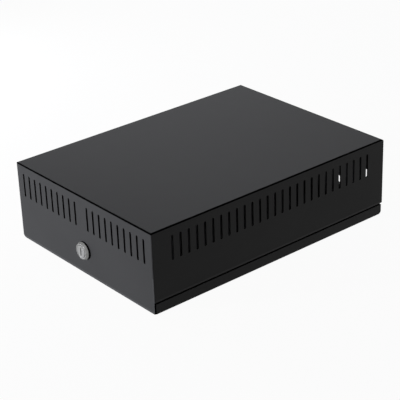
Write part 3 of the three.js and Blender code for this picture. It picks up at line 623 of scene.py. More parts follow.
def flat_face(points: Iterable[Vector], radii: Sequence[float], steps: int) -> Mesh:
    """Makes one flat face.

    Args:
        points: Its corners in order.
        radii: Radius of each corner, 0 for a sharp one.
        steps: Facets of a rounded corner.

    Returns:
        A mesh with that face alone.
    """
    mesh = bmesh.new()
    corners = [mesh.verts.new(point) for point in points]
    mesh.faces.new(corners)
    for corner, radius in zip(corners, radii):
        if radius > 0:
            bevel(mesh, [corner], radius, steps, "VERTICES")
    return mesh


def plate(
    along: Along, corners: Sequence[Pair], span: Pair, radii: Sequence[float] = (), steps: int = 6
) -> Mesh:
    """Makes a flat outline and extrudes it.

    Args:
        along: Axis of the extrusion.
        corners: Corners of the outline across that axis.
        span: Start and end along it.
        radii: Radius of each corner.
        steps: Facets of a rounded corner.

    Returns:
        The closed mesh.
    """
    mesh = flat_face([along.point(u, v, span[0]) for u, v in corners], radii, steps)
    made = bmesh.ops.extrude_face_region(mesh, geom=mesh.faces[:], use_keep_orig=True)
    ends = [item for item in made["geom"] if isinstance(item, bmesh.types.BMVert)]
    bmesh.ops.translate(mesh, verts=ends, vec=along.point(0, 0, span[1] - span[0]))
    return turn_out(mesh)


def rectangle(u: Pair, v: Pair) -> list[Pair]:
    """Corners of a rectangle, counter-clockwise from the lower left one."""
    return [(u[0], v[0]), (u[1], v[0]), (u[1], v[1]), (u[0], v[1])]


def block(low: Sequence[float], high: Sequence[float]) -> Mesh:
    """Makes a block between two opposite corners.

    Args:
        low: Corner with the lowest values.
        high: Corner with the highest values.

    Returns:
        The closed mesh.
    """
    mesh = bmesh.new()
    size = Vector(high) - Vector(low)
    middle = (Vector(high) + Vector(low)) / 2
    bmesh.ops.create_cube(mesh, size=1.0, matrix=Matrix.Translation(middle) @ Matrix.Diagonal((*size, 1.0)))
    return mesh


def lathe(
    along: Along,
    profile: Sequence[Pair],
    centre: Pair = (0.0, 0.0),
    radii: Sequence[float] = (),
    steps: int = 48,
    corner_steps: int = 3,
) -> Mesh:
    """Turns a closed profile round an axis.

    Args:
        along: Direction of the axis.
        profile: Radius and place along the axis of each corner.
        centre: Place of the axis across its direction.
        radii: Radius of each rounded corner.
        steps: Facets round the axis.
        corner_steps: Facets of a rounded corner.

    Returns:
        The closed mesh.
    """
    places = [along.point(centre[0] + radius, centre[1], place) for radius, place in profile]
    mesh = flat_face(places, radii, corner_steps)
    bmesh.ops.delete(mesh, geom=mesh.faces[:], context="FACES_ONLY")
    across = along.value[0]
    on_axis = [e for e in mesh.edges if all(abs(v.co[across] - centre[0]) < WELD for v in e.verts)]
    bmesh.ops.delete(mesh, geom=on_axis, context="EDGES")
    bmesh.ops.spin(
        mesh,
        geom=mesh.verts[:] + mesh.edges[:],
        cent=along.point(*centre, 0.0),
        axis=along.point(0, 0, 1),
        angle=2 * math.pi,
        steps=steps,
        use_merge=True,
    )
    return turn_out(mesh)


def bar(along: Along, radius: float, span: Pair, centre: Pair = (0.0, 0.0), steps: int = 32) -> Mesh:
    """Makes a round bar.

    Args:
        along: Direction of its axis.
        radius: Its radius.
        span: Start and end along the axis.
        centre: Place of the axis across its direction.
        steps: Facets round it.

    Returns:
        The closed mesh.
    """
    profile = [(0.0, span[0]), (radius, span[0]), (radius, span[1]), (0.0, span[1])]
    return lathe(along, profile, centre, steps=steps)


def bars(
    along: Along, radius: float, span: Pair, places: Iterable[Pair], steps: int = 20
) -> list[Mesh]:
    """A round bar at each of several places."""
    return [bar(along, radius, span, at, steps) for at in places]


def folded_block(spans: Sequence[Pair], radii: Sequence[Sequence[float]]) -> Mesh:
    """The block that a folded sheet encloses: its three views, cut out and intersected.

    Args:
        spans: Start and end on X, Y and Z.
        radii: Radii of the corners in the views along X, Y and Z.

    Returns:
        The closed mesh.
    """
    views = []
    for along, corners in zip(Along, radii):
        first, second, last = along.value
        through = (spans[last][0] - OVERRUN, spans[last][1] + OVERRUN)
        views.append(plate(along, rectangle(spans[first], spans[second]), through, corners, 8))
    side, front, top = views
    return carve(carve(side, [front], "INTERSECT"), [top], "INTERSECT")


def thread(radius: float, depth: float, span: Pair, pitch: float) -> list[Pair]:
    """Profile of a thread's crests and roots.

    Args:
        radius: Radius of the crests.
        depth: Depth of the roots.
        span: Start and end of the thread, in either order.
        pitch: Distance from crest to crest.

    Returns:
        Profile points from the start to the end.
    """
    count = max(1, round(abs(span[1] - span[0]) / pitch))
    step = (span[1] - span[0]) / count
    turns = range(2 * count + 1)
    return [(radius - depth * (i % 2), span[0] + i * step / 2) for i in turns]


def carve(body: Mesh, tools: Iterable[Mesh], operation: str = "DIFFERENCE") -> Mesh:
    """Cuts, joins or intersects closed meshes.

    Args:
        body: The mesh that is worked on, which is used up.
        tools: The meshes that work on it, which are used up and don't overlap each other.
        operation: DIFFERENCE, UNION or INTERSECT.

    Returns:
        The mesh that is left.
    """
    work, tool = [stand("carving", data_of(mesh, "carving")) for mesh in (body, gather(tools))]
    cut = work.modifiers.new("carve", "BOOLEAN")
    cut.operation, cut.solver, cut.object = operation, "EXACT", tool
    result = bmesh.new()
    result.from_object(work, bpy.context.evaluated_depsgraph_get())
    for used in (work, tool):
        data = used.data
        bpy.data.objects.remove(used)
        bpy.data.meshes.remove(data)
    return turn_out(result)


def ease(mesh: Mesh, width: float) -> Mesh:
    """Rounds every sharp edge of a mesh, which is changed and given back."""
    sharp = [e for e in mesh.edges if len(e.link_faces) == 2 and e.calc_face_angle(0.0) > SHARP_ANGLE]
    return bevel(mesh, sharp, width, EASE_STEPS)


def hex_nut(along: Along, flats: float, span: Pair, bore: float, centre: Pair) -> Mesh:
    """Makes a hexagon nut with chamfered corners and a threaded bore.

    Args:
        along: Direction of its axis.
        flats: Width across flats.
        span: Start and end along the axis.
        bore: Radius of the bore.
        centre: Place of the axis across its direction.

    Returns:
        The closed mesh.
    """
    corner, (low, high) = flats / math.sqrt(3), span
    chamfer = (corner - flats / 2) * NUT_CHAMFER_SHARE
    turns = [i * math.pi / 3 for i in range(6)]
    points = [(centre[0] + corner * math.cos(a), centre[1] + corner * math.sin(a)) for a in turns]
    face, widest = flats / 2 * NUT_FACE_SHARE, corner * NUT_CORNER_SHARE
    rounding = [(0.0, low), (face, low), (widest, low + chamfer)]
    rounding += [(widest, high - chamfer), (face, high), (0.0, high)]
    body = plate(along, points, (low - WELD, high + WELD))
    body = carve(body, [lathe(along, rounding, centre)], "INTERSECT")
    pitch, mouth = (high - low) / NUT_THREADS, bore * NUT_MOUTH_SHARE
    inset, start = (pitch * share for share in MOUTH_SHARES)
    hole = [(0.0, low - OVERRUN), (mouth, low - OVERRUN), (mouth, low + inset)]
    hole += thread(bore, -bore * NUT_ROOT_SHARE, (low + start, high - start), pitch)
    hole += [(mouth, high - inset), (mouth, high + OVERRUN), (0.0, high + OVERRUN)]
    return carve(body, [lathe(along, hole, centre, steps=32)])


# From mesh to piece


class Workshop:
    """Turns meshes into dressed pieces that ride on the frame's bodies."""

    def __init__(self) -> None:
        """Starts with no material made."""
        self.materials: dict[str, bpy.types.Material] = {}
        self.count = 0

    def piece(self, mesh: Mesh, name: str, body: Body, finish: Finish, *nodes: str) -> None:
        """Ends a mesh as a piece of the model.

        Args:
            mesh: The mesh in millimetres, which is used up.
            name: Name of the piece.
            body: Body that it rides on.
            finish: Its finish, whose material is made once.
            nodes: CAD nodes that it stands for.
        """
        if finish.name not in self.materials:
            self.materials[finish.name] = finish.material()
        data = data_of(moved(mesh, Matrix.Scale(MM, 4)), name)
        data.materials.append(self.materials[finish.name])
        data.shade_smooth()
        data.set_sharp_from_angle(angle=SOFT_ANGLE)
        made = stand(name, data)
        made.modifiers.new("even_shading", "WEIGHTED_NORMAL").keep_sharp = True
        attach(made, body.value)
        if nodes:
            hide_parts(*nodes)
        self.count += 1
        LOG.info("%s: %d faces, rides on %s", name, len(data.polygons), body.value)


@dataclass(frozen=True)
class Case:
    """Outside sizes that all sub-assemblies share."""

    half_width: float = 130.0
    half_depth: float = 180.0
    height: float = 100.0
    sheet: float = 1.5
    coat_gap: float = 0.1
    hinge_height: float = 85.5
    hinge_x: float = 88.0
    lock_x: float = 1.9
    lock_height: float = 31.5
    fan_x: float = -30.0
    fan_z: float = 43.5

    @property
    def front_cut(self) -> Pair:
        """Span along Y of a tool that cuts through the front sheet."""
        return (-self.half_depth - OVERRUN, -self.half_depth + self.sheet + OVERRUN)

    @property
    def rear_cut(self) -> Pair:
        """Span along Y of a tool that cuts through the rear sheet."""
        return (self.half_depth - self.sheet - OVERRUN, self.half_depth + OVERRUN)

    @property
    def floor_cut(self) -> Pair:
        """Span along Z of a tool that cuts through the floor."""
        return (-OVERRUN, self.sheet + OVERRUN)


@dataclass
class Cover:
    """The folded cover: top, slotted front and sides, and the rear lip with its hinge notches."""

    case: Case
    bend: float = 2.0
    seam: float = 14.9
    front_gap: float = 0.5
    front_corners: Pair = (7.0, 0.8)
    side_corner: float = 1.2
    slot_width: float = 3.2
    slot_length: float = 30.3
    slot_drop: float = 11.0
    front_pitch: float = 11.57
    front_slots: int = 10
    side_pitch: float = 11.67
    side_slots: int = 13
    lip_low: float = 86.0
    lock_hole: float = 9.65
    lock_flats: float = 8.4
    edge: float = 0.22

    def folded(self, inset: float, low: float, corners: Pair) -> Mesh:
        """The block that the folded cover fills.

        Args:
            inset: Distance inside the outer faces.
            low: Its lower end.
            corners: Radius of the front's lower left and right corner.

        Returns:
            The closed mesh.
        """
        bend = self.bend - inset
        wide, deep = self.case.half_width - inset, self.case.half_depth - inset
        spans = ((-wide, wide), (-deep, deep), (low, self.case.height - inset))
        return folded_block(spans, ((0, 0, bend, bend), (*corners, bend, bend), (bend, bend, 0, 0)))

    def slots(self) -> list[Mesh]:
        """Cutters for all slots. The ones along X run through both sides.

        Returns:
            The cutters, which don't overlap.
        """
        half, high = self.slot_width / 2, self.case.height - self.slot_drop
        reach = self.case.half_width + OVERRUN
        front = [side * (i + 1) * self.front_pitch for i in range(self.front_slots) for side in (-1, 1)]
        sides = [i * self.side_pitch for i in range(-self.side_slots, self.side_slots + 1)]
        rows = ((Along.Y, self.case.front_cut, front), (Along.X, (-reach, reach), sides))
        cutters = []
        for along, span, places in rows:
            for at in places:
                corners = rectangle((at - half, at + half), (high - self.slot_length, high))
                cutters.append(plate(along, corners, span, (half * ARC_SHARE,) * 4, 5))
        return cutters

    def lock_opening(self) -> Mesh:
        """Cutter for the lock's hole with its two flats.

        Returns:
            The closed mesh.
        """
        span = self.case.front_cut
        x, z, reach = self.case.lock_x, self.case.lock_height, 2 * self.lock_hole
        hole = bar(Along.Y, self.lock_hole, span, (x, z), 48)
        low = (x - self.lock_flats, span[0] - OVERRUN, z - reach)
        slab = block(low, (x + self.lock_flats, span[1] + OVERRUN, z + reach))
        return carve(hole, [slab], "INTERSECT")

    def build(self, shop: Workshop, hinges: "Hinges") -> None:
        """Shapes and dresses the cover.

        Args:
            shop: Where pieces are finished.
            hinges: The hinges that the rear lip makes room for.
        """
        sheet, side, rear, seam = self.case.sheet, self.case.half_width, self.case.half_depth, self.seam
        body = self.folded(0.0, self.front_gap, self.front_corners)
        for cutter in (
            self.folded(sheet, -3 * OVERRUN, (0.0, 0.0)),
            block((-side - OVERRUN, sheet - rear, -OVERRUN), (side + OVERRUN, rear + OVERRUN, seam)),
            block((sheet - side, 0.0, -OVERRUN), (side - sheet, rear + OVERRUN, self.lip_low)),
        ):
            body = carve(body, [cutter])
        lower = [v for v in body.verts if abs(v.co.y - rear) < NEAR and abs(v.co.z - seam) < NEAR]
        corners = [e for e in body.edges if all(v in lower for v in e.verts)]
        bevel(body, corners, self.side_corner, 6)
        body = carve(body, [*self.slots(), self.lock_opening(), *hinges.rivet_cutters(1)])
        body = carve(body, hinges.notch_cutters(1))
        shop.piece(ease(body, self.edge), "cover_sheet", Body.COVER, COVER_COAT, "cover_shell")


@dataclass
class Tray:
    """The folded tray: floor, low walls, and the rear wall with the fan's and the cables' holes."""

    case: Case
    half_width: float = 128.0
    front: float = -178.0
    bend: float = 2.0
    rear_bend: float = 4.3
    side_height: float = 30.0
    front_height: float = 14.52
    rear_top: float = 85.0
    rear_return: float = 12.0
    mount_hole: float = 3.25
    mount_x: float = 90.0
    mount_y: float = 130.0
    edge: float = 0.22

    def folded(self, inset: float, high: float) -> Mesh:
        """The block that the folded tray fills.

        Args:
            inset: Distance inside the outer faces.
            high: Its upper end.

        Returns:
            The closed mesh.
        """
        bend, rear_bend, half = self.bend - inset, self.rear_bend - inset, self.half_width - inset
        spans = ((-half, half), (self.front + inset, self.case.half_depth - inset), (inset, high))
        return folded_block(spans, ((bend, rear_bend, 0, 0), (bend, bend, 0, 0), (bend,) * 4))

    def build(self, shop: Workshop, hinges: "Hinges", catch: "Catch", ports: "Ports", fan: "Fan") -> None:
        """Shapes and dresses the tray.

        Args:
            shop: Where pieces are finished.
            hinges: Hinges on the rear wall.
            catch: Catch on the floor.
            ports: Cable ports in the rear wall.
            fan: Fan on the rear wall.
        """
        case, inside = self.case, self.half_width - self.case.sheet
        body = self.folded(0.0, self.rear_top)
        for cutter in (
            self.folded(case.sheet, self.rear_top + OVERRUN),
            block(
                (-case.half_width, -case.half_depth, self.side_height),
                (case.half_width, case.half_depth - case.sheet - self.rear_return, case.height),
            ),
            block((-inside, -case.half_depth, self.front_height), (inside, 0.0, case.height)),
        ):
            body = carve(body, [cutter])
        places = [(x, y) for x in (-self.mount_x, self.mount_x) for y in (-self.mount_y, self.mount_y)]
        mounts = bars(Along.Z, self.mount_hole, case.floor_cut, places, 32)
        holes = [*mounts, *catch.floor_cutters(), *ports.wall_cutters(), *fan.wall_cutters()]
        body = carve(body, [*holes, *hinges.rivet_cutters(-1)])
        body = carve(body, hinges.notch_cutters(-1))
        shop.piece(ease(body, self.edge), "tray_sheet", Body.BASE, TRAY_COAT, "base_tray")


@dataclass
class Skirts:
    """The strips welded on outside the tray's low walls, nearly flush with the cover above them."""

    case: Case
    inner: float = 128.1
    front: float = -178.0
    rear: float = 179.1
    top: float = 12.6
    corners: Pair = (0.5, 4.3)
    edge: float = 0.2

    def build(self, shop: Workshop) -> None:
        """Shapes and dresses both strips.

        Args:
            shop: Where pieces are finished.
        """
        for label, side in (("left", -1), ("right", 1)):
            span = tuple(sorted((side * self.inner, side * (self.inner + self.case.sheet))))
            outline = rectangle((self.front, self.rear), (0.0, self.top))
            mesh = ease(plate(Along.X, outline, span, (*self.corners, 0, 0), 8), self.edge)
            shop.piece(mesh, f"skirt_rail_{label}", Body.BASE, SKIRT_COAT, f"skirt_{label}")


@dataclass
class Hinges:
    """Two butt hinges with rolled knuckles, each riveted to the rear wall and the cover's lip."""

    case: Case
    length: float = 44.0
    knuckles: int = 5
    knuckle_gap: float = 0.4
    leaf: float = 1.2
    leaf_width: float = 12.0
    pin_play: float = 0.15
    pin_proud: float = 0.6
    notch_play: float = 0.4
    rivet: float = 1.5
    rivet_play: float = 0.15
    rivet_head: float = 3.0
    rivet_head_height: float = 1.2
    rivet_tail: float = 2.5
    rivet_tail_height: float = 0.8
    rivet_inset: float = 8.0
    rivet_edge: float = 4.0
    leaf_corner: float = 1.5
    leaf_edge: float = 0.12
    dome_shares: tuple[Pair, ...] = ((1.0, 0.0), (0.97, 0.35), (0.78, 0.78), (0.4, 1.0))

    @property
    def knuckle(self) -> float:
        """Outer radius of the knuckles."""
        return self.case.sheet + self.case.coat_gap + self.leaf

    @property
    def bore(self) -> float:
        """Inner radius of the knuckles."""
        return self.knuckle - self.leaf

    def rivet_places(self, side: int) -> list[Pair]:
        """X and Z of the four rivets above (1) or below (-1) the hinge axes.

        Args:
            side: 1 or -1.

        Returns:
            The places, from left to right.
        """
        reach = self.length / 2 - self.rivet_inset
        height = self.case.hinge_height + side * (self.leaf_width - self.rivet_edge)
        middles = (-self.case.hinge_x, self.case.hinge_x)
        return [(x + shift, height) for x in middles for shift in (-reach, reach)]

    def rivet_cutters(self, side: int) -> list[Mesh]:
        """Cutters for the rivets' holes in the sheet."""
        return bars(Along.Y, self.rivet + self.rivet_play, self.case.rear_cut, self.rivet_places(side))

    def notch_cutters(self, side: int) -> list[Mesh]:
        """Cutters for the knuckles' notches in the lip (1) or the wall (-1).

        Args:
            side: 1 or -1.

        Returns:
            A cutter for each hinge.
        """
        reach = self.length / 2 + self.notch_play + self.pin_proud
        axis = self.case.hinge_height
        low, high = sorted((axis - side * OVERRUN, axis + side * (self.knuckle + self.notch_play)))
        rear = self.case.half_depth
        return [
            block((x - reach, rear - OVERRUN, low), (x + reach, rear + OVERRUN, high))
            for x in (-self.case.hinge_x, self.case.hinge_x)
        ]

    def leaf_mesh(self, side: int, first: int, x: float) -> Mesh:
        """One leaf with its rolled knuckles.

        Args:
            side: 1 for the moving leaf above the axis, -1 for the fixed one below.
            first: Number of its first knuckle.
            x: Place of the hinge's middle.

        Returns:
            The closed mesh.
        """
        rear, axis = self.case.half_depth, self.case.hinge_height
        face = (rear - self.knuckle, rear - self.knuckle + self.leaf)
        half = self.length / 2
        step = (self.length + self.knuckle_gap) / self.knuckles
        near, far = self.knuckle + self.notch_play, self.leaf_width
        low, high = sorted((axis + side * near, axis + side * far))
        corner = self.leaf_corner
        radii = (0, 0, corner, corner) if side > 0 else (corner, corner, 0, 0)
        body = plate(Along.Y, rectangle((x - half, x + half), (low, high)), face, radii, 4)
        low, high = sorted((axis, axis + side * (near + self.leaf)))
        for i in range(first, self.knuckles, 2):
            start = x - half + i * step
            end = start + step - self.knuckle_gap
            tongue = block((start, face[0], low), (end, face[1], high))
            roll = bar(Along.X, self.knuckle, (start, end), (rear, axis), 32)
            body = carve(carve(body, [tongue], "UNION"), [roll], "UNION")
        start, end = (x - half, face[1], axis + side * self.bore), (x + half, face[1] + self.leaf / 6)
        seam = block(start, (*end, axis + side * near))
        bore = bar(Along.X, self.bore, (x - half - OVERRUN, x + half + OVERRUN), (rear, axis), 32)
        body = carve(carve(body, [bore]), [seam])
        holes = [at for at in self.rivet_places(side) if abs(at[0] - x) < half]
        body = carve(body, bars(Along.Y, self.rivet + self.rivet_play, (face[0] - OVERRUN, rear), holes))
        return ease(body, self.leaf_edge)

    def pin_mesh(self, x: float) -> Mesh:
        """The pin with its domed ends.

        Args:
            x: Place of the hinge's middle.

        Returns:
            The closed mesh.
        """
        radius = self.bore - self.pin_play
        reach = self.length / 2 + self.pin_proud
        profile = [(0.0, x - reach), (radius, x - reach), (radius, x + reach), (0.0, x + reach)]
        return lathe(Along.X, profile, (self.case.half_depth, self.case.hinge_height), (0, 0.5, 0.5, 0), 28)

    def rivet_mesh(self, at: Pair) -> Mesh:
        """One rivet: domed head outside, flat tail inside.

        Args:
            at: X and Z of its axis.

        Returns:
            The closed mesh.
        """
        rear, gap = self.case.half_depth, self.case.coat_gap
        seat, tail = rear + gap, rear - self.knuckle - gap
        end = tail - self.rivet_tail_height
        profile = [(0.0, end), (self.rivet_tail, end), (self.rivet_tail, tail)]
        profile += [(self.rivet, tail), (self.rivet, seat)]
        dome = [(self.rivet_head * r, seat + self.rivet_head_height * h) for r, h in self.dome_shares]
        profile += [*dome, (0.0, dome[-1][1])]
        return lathe(Along.Y, profile, at, (0, 0.3, 0.1, 0, 0, 0.1, 0.2, 0.4, 0.5, 0), 28)

    def build(self, shop: Workshop) -> None:
        """Shapes and dresses both hinges.

        Args:
            shop: Where pieces are finished.
        """
        for label, x in (("left", -self.case.hinge_x), ("right", self.case.hinge_x)):
            for kind, side, first, body in (("fixed", -1, 0, Body.BASE), ("moving", 1, 1, Body.COVER)):
                leaf, node = f"rolled_leaf_{kind}_{label}", f"hinge_leaf_{kind}_{label}"
                shop.piece(self.leaf_mesh(side, first, x), leaf, body, ROLLED_ZINC, node)
                places = [at for at in self.rivet_places(side) if abs(at[0] - x) < self.length / 2]
                for i, at in enumerate(places, 1):
                    rivet = f"rivet_{kind}_{label}_{i}"
                    shop.piece(self.rivet_mesh(at), rivet, body, BRIGHT_ZINC, f"hinge_{rivet}")
            shop.piece(self.pin_mesh(x), f"domed_pin_{label}", Body.BASE, BRIGHT_ZINC, f"hinge_pin_{label}")


@dataclass
class Lock:
    """The cam lock: head and collar outside, threaded barrel, washer and nut inside, plug and cam."""

    case: Case
    head: float = 11.0
    proud: float = 5.3
    rim_width: float = 2.4
    taper: float = 1.6
    taper_length: float = 2.9
    face_sink: float = 0.4
    flange: float = 3.3
    barrel: float = 9.5
    barrel_flats: float = 8.25
    barrel_length: float = 16.0
    hole_play: float = 0.15
    washer: float = 0.8
    washer_width: float = 2.8
    nut_flats: float = 23.0
    nut: float = 5.0
    plug: float = 7.2
    plug_rise: float = 0.4
    plug_play: float = 0.15
    tail: float = 4.0
    keyway: Pair = (-1.15, 0.55)
    keyway_half: float = 5.0
    keyway_depth: float = 11.0
    cam: float = 2.0
    cam_hub: float = 8.5
    cam_half: float = 6.5
    cam_reach: float = 25.0
    cam_tip: float = 3.0
    cam_gap: float = 0.3
    screw: float = 1.9
    screw_length: float = 8.0
    screw_head: float = 4.6
    screw_head_height: float = 2.4
    screw_slot: float = 0.5
    screw_slot_depth: float = 0.9
    screw_lead: float = 0.5
    screw_neck: float = 0.4
    screw_tip: float = 0.4
    screw_head_slope: float = 0.5
    screw_head_share: float = 0.8
    pitch: float = 1.0
    root: float = 0.55
    barrel_tip: float = 0.6
    bore_mouth: float = 0.35
    ward: float = 0.45
    ward_slope: float = 0.4
    ward_span: Pair = (-0.8, 1.5)
    shutter: float = 0.5
    shutter_sink: float = 2.0
    shutter_play: float = 0.08
    edge: float = 0.1
    ring_edge: float = 0.15
    cam_edge: float = 0.25

    @property
    def front(self) -> float:
        """Y of the cover's outer face."""
        return -self.case.half_depth

    @property
    def centre(self) -> Pair:
        """X and Z of the lock's axis."""
        return (self.case.lock_x, self.case.lock_height)

    @property
    def face(self) -> float:
        """Y of the head's face inside its rim."""
        return self.front - self.proud + self.face_sink

    @property
    def cam_start(self) -> float:
        """Y of the cam's front face."""
        return self.front + self.barrel_length + self.cam_gap

    def turned(self, profile: Sequence[Pair], radii: Sequence[float] = (), steps: int = 64) -> Mesh:
        """A body turned round the lock's axis."""
        return lathe(Along.Y, profile, self.centre, radii, steps)

    def head_mesh(self) -> Mesh:
        """Head with raised rim, and the threaded barrel with its two flats.

        Returns:
            The closed mesh.
        """
        tip = self.front - self.proud
        under = tip + self.flange
        bore = self.plug + self.plug_play
        inner = self.head - self.rim_width
        end = self.front + self.barrel_length
        outside = [
            (inner, self.face),
            (inner, tip),
            (self.head - self.taper, tip),
            (self.head, tip + self.taper_length),
            (self.head, under),
            (self.barrel, under),
        ]
        rows = thread(self.barrel, self.root, (self.front + self.pitch, end - self.pitch), self.pitch)
        mouth = [(bore, self.face + self.bore_mouth), (bore + self.bore_mouth, self.face)]
        profile = [*mouth, *outside, *rows, (self.barrel - self.barrel_tip, end), (bore, end)]
        radii = [0.0, 0.1, 0.1, 0.1, 0.2, 0.3, 0.1, 0.0]
        mesh = self.turned(profile, radii)
        flats, x = [], self.case.lock_x
        for side in (-1, 1):
            near, far = sorted((x + side * self.barrel_flats, x + side * 2 * self.head))
            low = (near, self.front - self.case.coat_gap, self.case.lock_height - self.head)
            flats.append(block(low, (far, end + OVERRUN, self.case.lock_height + self.head)))
        return carve(mesh, flats)

    def ring_mesh(self, inner: float, outer: float, span: Pair) -> Mesh:
        """A ring round the lock's axis with eased edges."""
        return self.turned(rectangle((inner, outer), span), (self.ring_edge,) * 4)

    def plug_mesh(self) -> Mesh:
        """The plug with its keyway in front and its square tail behind.

        Returns:
            The closed mesh.
        """
        face = self.face - self.plug_rise
        shoulder = self.cam_start - self.case.coat_gap
        end = self.cam_start + self.cam
        body = self.turned(rectangle((0.0, self.plug), (face, shoulder)), (0, 0.15, 0.3, 0))
        x, height = self.centre
        low = (x - self.tail, shoulder - OVERRUN, height - self.tail)
        tail = block(low, (x + self.tail, end, height + self.tail))
        body = carve(body, [tail], "UNION")
        left, right = (x + edge for edge in self.keyway)
        half, deep, (low, high) = self.keyway_half, right + self.ward, self.ward_span
        corners = [(left, -half), (right, -half), (right, low), (deep, low + self.ward_slope)]
        corners += [(deep, high - self.ward_slope), (right, high), (right, half), (left, half)]
        corners = [(u, height + v) for u, v in corners]
        radii = (0.3, 0.3, 0, 0, 0, 0, 0.3, 0.3)
        way = plate(Along.Y, corners, (face - OVERRUN, face + self.keyway_depth), radii, 3)
        hole_start = end - self.screw_length - self.case.coat_gap
        hole = bar(Along.Y, self.screw + self.plug_play, (hole_start, end + OVERRUN), self.centre, 24)
        return ease(carve(body, [way, hole]), self.edge)

    def shutter_mesh(self) -> Mesh:
        """The sprung flap that closes the keyway while no key is in.

        Returns:
            The closed mesh.
        """
        left, right = (self.case.lock_x + edge for edge in self.keyway)
        play, height = self.shutter_play, self.case.lock_height
        start = self.face - self.plug_rise + self.shutter_sink
        half = self.keyway_half - play
        high = (right - play, start + self.shutter, height + half)
        return ease(block((left + play, start, height - half), high), self.ring_edge)

    def cam_mesh(self) -> Mesh:
        """The cam, which hangs down while the box is unlocked.

        Returns:
            The closed mesh.
        """
        span = (self.cam_start, self.cam_start + self.cam)
        (x, height), half = self.centre, self.cam_half
        hub = bar(Along.Y, self.cam_hub, span, self.centre, 48)
        outline = rectangle((x - half, x + half), (height - self.cam_reach, height))
        arm = plate(Along.Y, outline, span, (self.cam_tip, self.cam_tip, 0, 0))
        hole = self.tail + self.plug_play
        low = (x - hole, span[0] - OVERRUN, height - hole)
        square = block(low, (x + hole, span[1] + OVERRUN, height + hole))
        return ease(carve(carve(hub, [arm], "UNION"), [square]), self.cam_edge)

    def screw_mesh(self) -> Mesh:
        """The slotted screw that holds the cam.

        Returns:
            The closed mesh.
        """
        seat = self.cam_start + self.cam + self.case.coat_gap
        end = seat + self.screw_head_height
        start = seat - self.screw_length
        thread_span = (start + self.screw_lead, seat - self.screw_neck)
        rows = thread(self.screw, FINE_ROOT, thread_span, FINE_PITCH)
        profile = [(0.0, start), (self.screw - self.screw_tip, start), *rows, (self.screw, seat)]
        profile += [(self.screw_head, seat), (self.screw_head, end - self.screw_head_slope)]
        profile += [(self.screw_head * self.screw_head_share, end), (0.0, end)]
        body = self.turned(profile, steps=36)
        (x, height), reach = self.centre, 2 * self.screw_head
        low = (x - reach, end - self.screw_slot_depth, height - self.screw_slot)
        slot = block(low, (x + reach, end + OVERRUN, height + self.screw_slot))
        return ease(carve(body, [slot]), self.edge)

    def build(self, shop: Workshop) -> None:
        """Shapes and dresses the lock.

        Args:
            shop: Where pieces are finished.
        """
        front, gap, hole = self.front, self.case.coat_gap, self.barrel + self.hole_play
        cover, turning = Body.COVER, Body.LOCK
        shop.piece(self.head_mesh(), "lock_head", cover, NICKEL_PLATE, "lock_body")
        collar = self.ring_mesh(hole, self.head, (front - self.proud + self.flange + gap, front - gap))
        shop.piece(collar, "head_collar", cover, COLLAR_PLASTIC, "lock_collar")
        start = front + self.case.sheet + gap
        washer = self.ring_mesh(hole, hole + self.washer_width, (start, start + self.washer))
        shop.piece(washer, "barrel_washer", cover, BRIGHT_ZINC, "lock_washer")
        start += self.washer + gap
        nut = hex_nut(Along.Y, self.nut_flats, (start, start + self.nut), hole, self.centre)
        shop.piece(nut, "barrel_nut", cover, BRIGHT_ZINC, "lock_nut")
        shop.piece(self.plug_mesh(), "key_plug", turning, NICKEL_PLATE, "lock_plug")
        shop.piece(self.shutter_mesh(), "keyway_shutter", turning, NICKEL_PLATE)
        shop.piece(self.cam_mesh(), "cam_arm", turning, ROLLED_ZINC, "lock_cam")
        shop.piece(self.screw_mesh(), "slotted_screw", turning, BRIGHT_ZINC, "cam_screw")


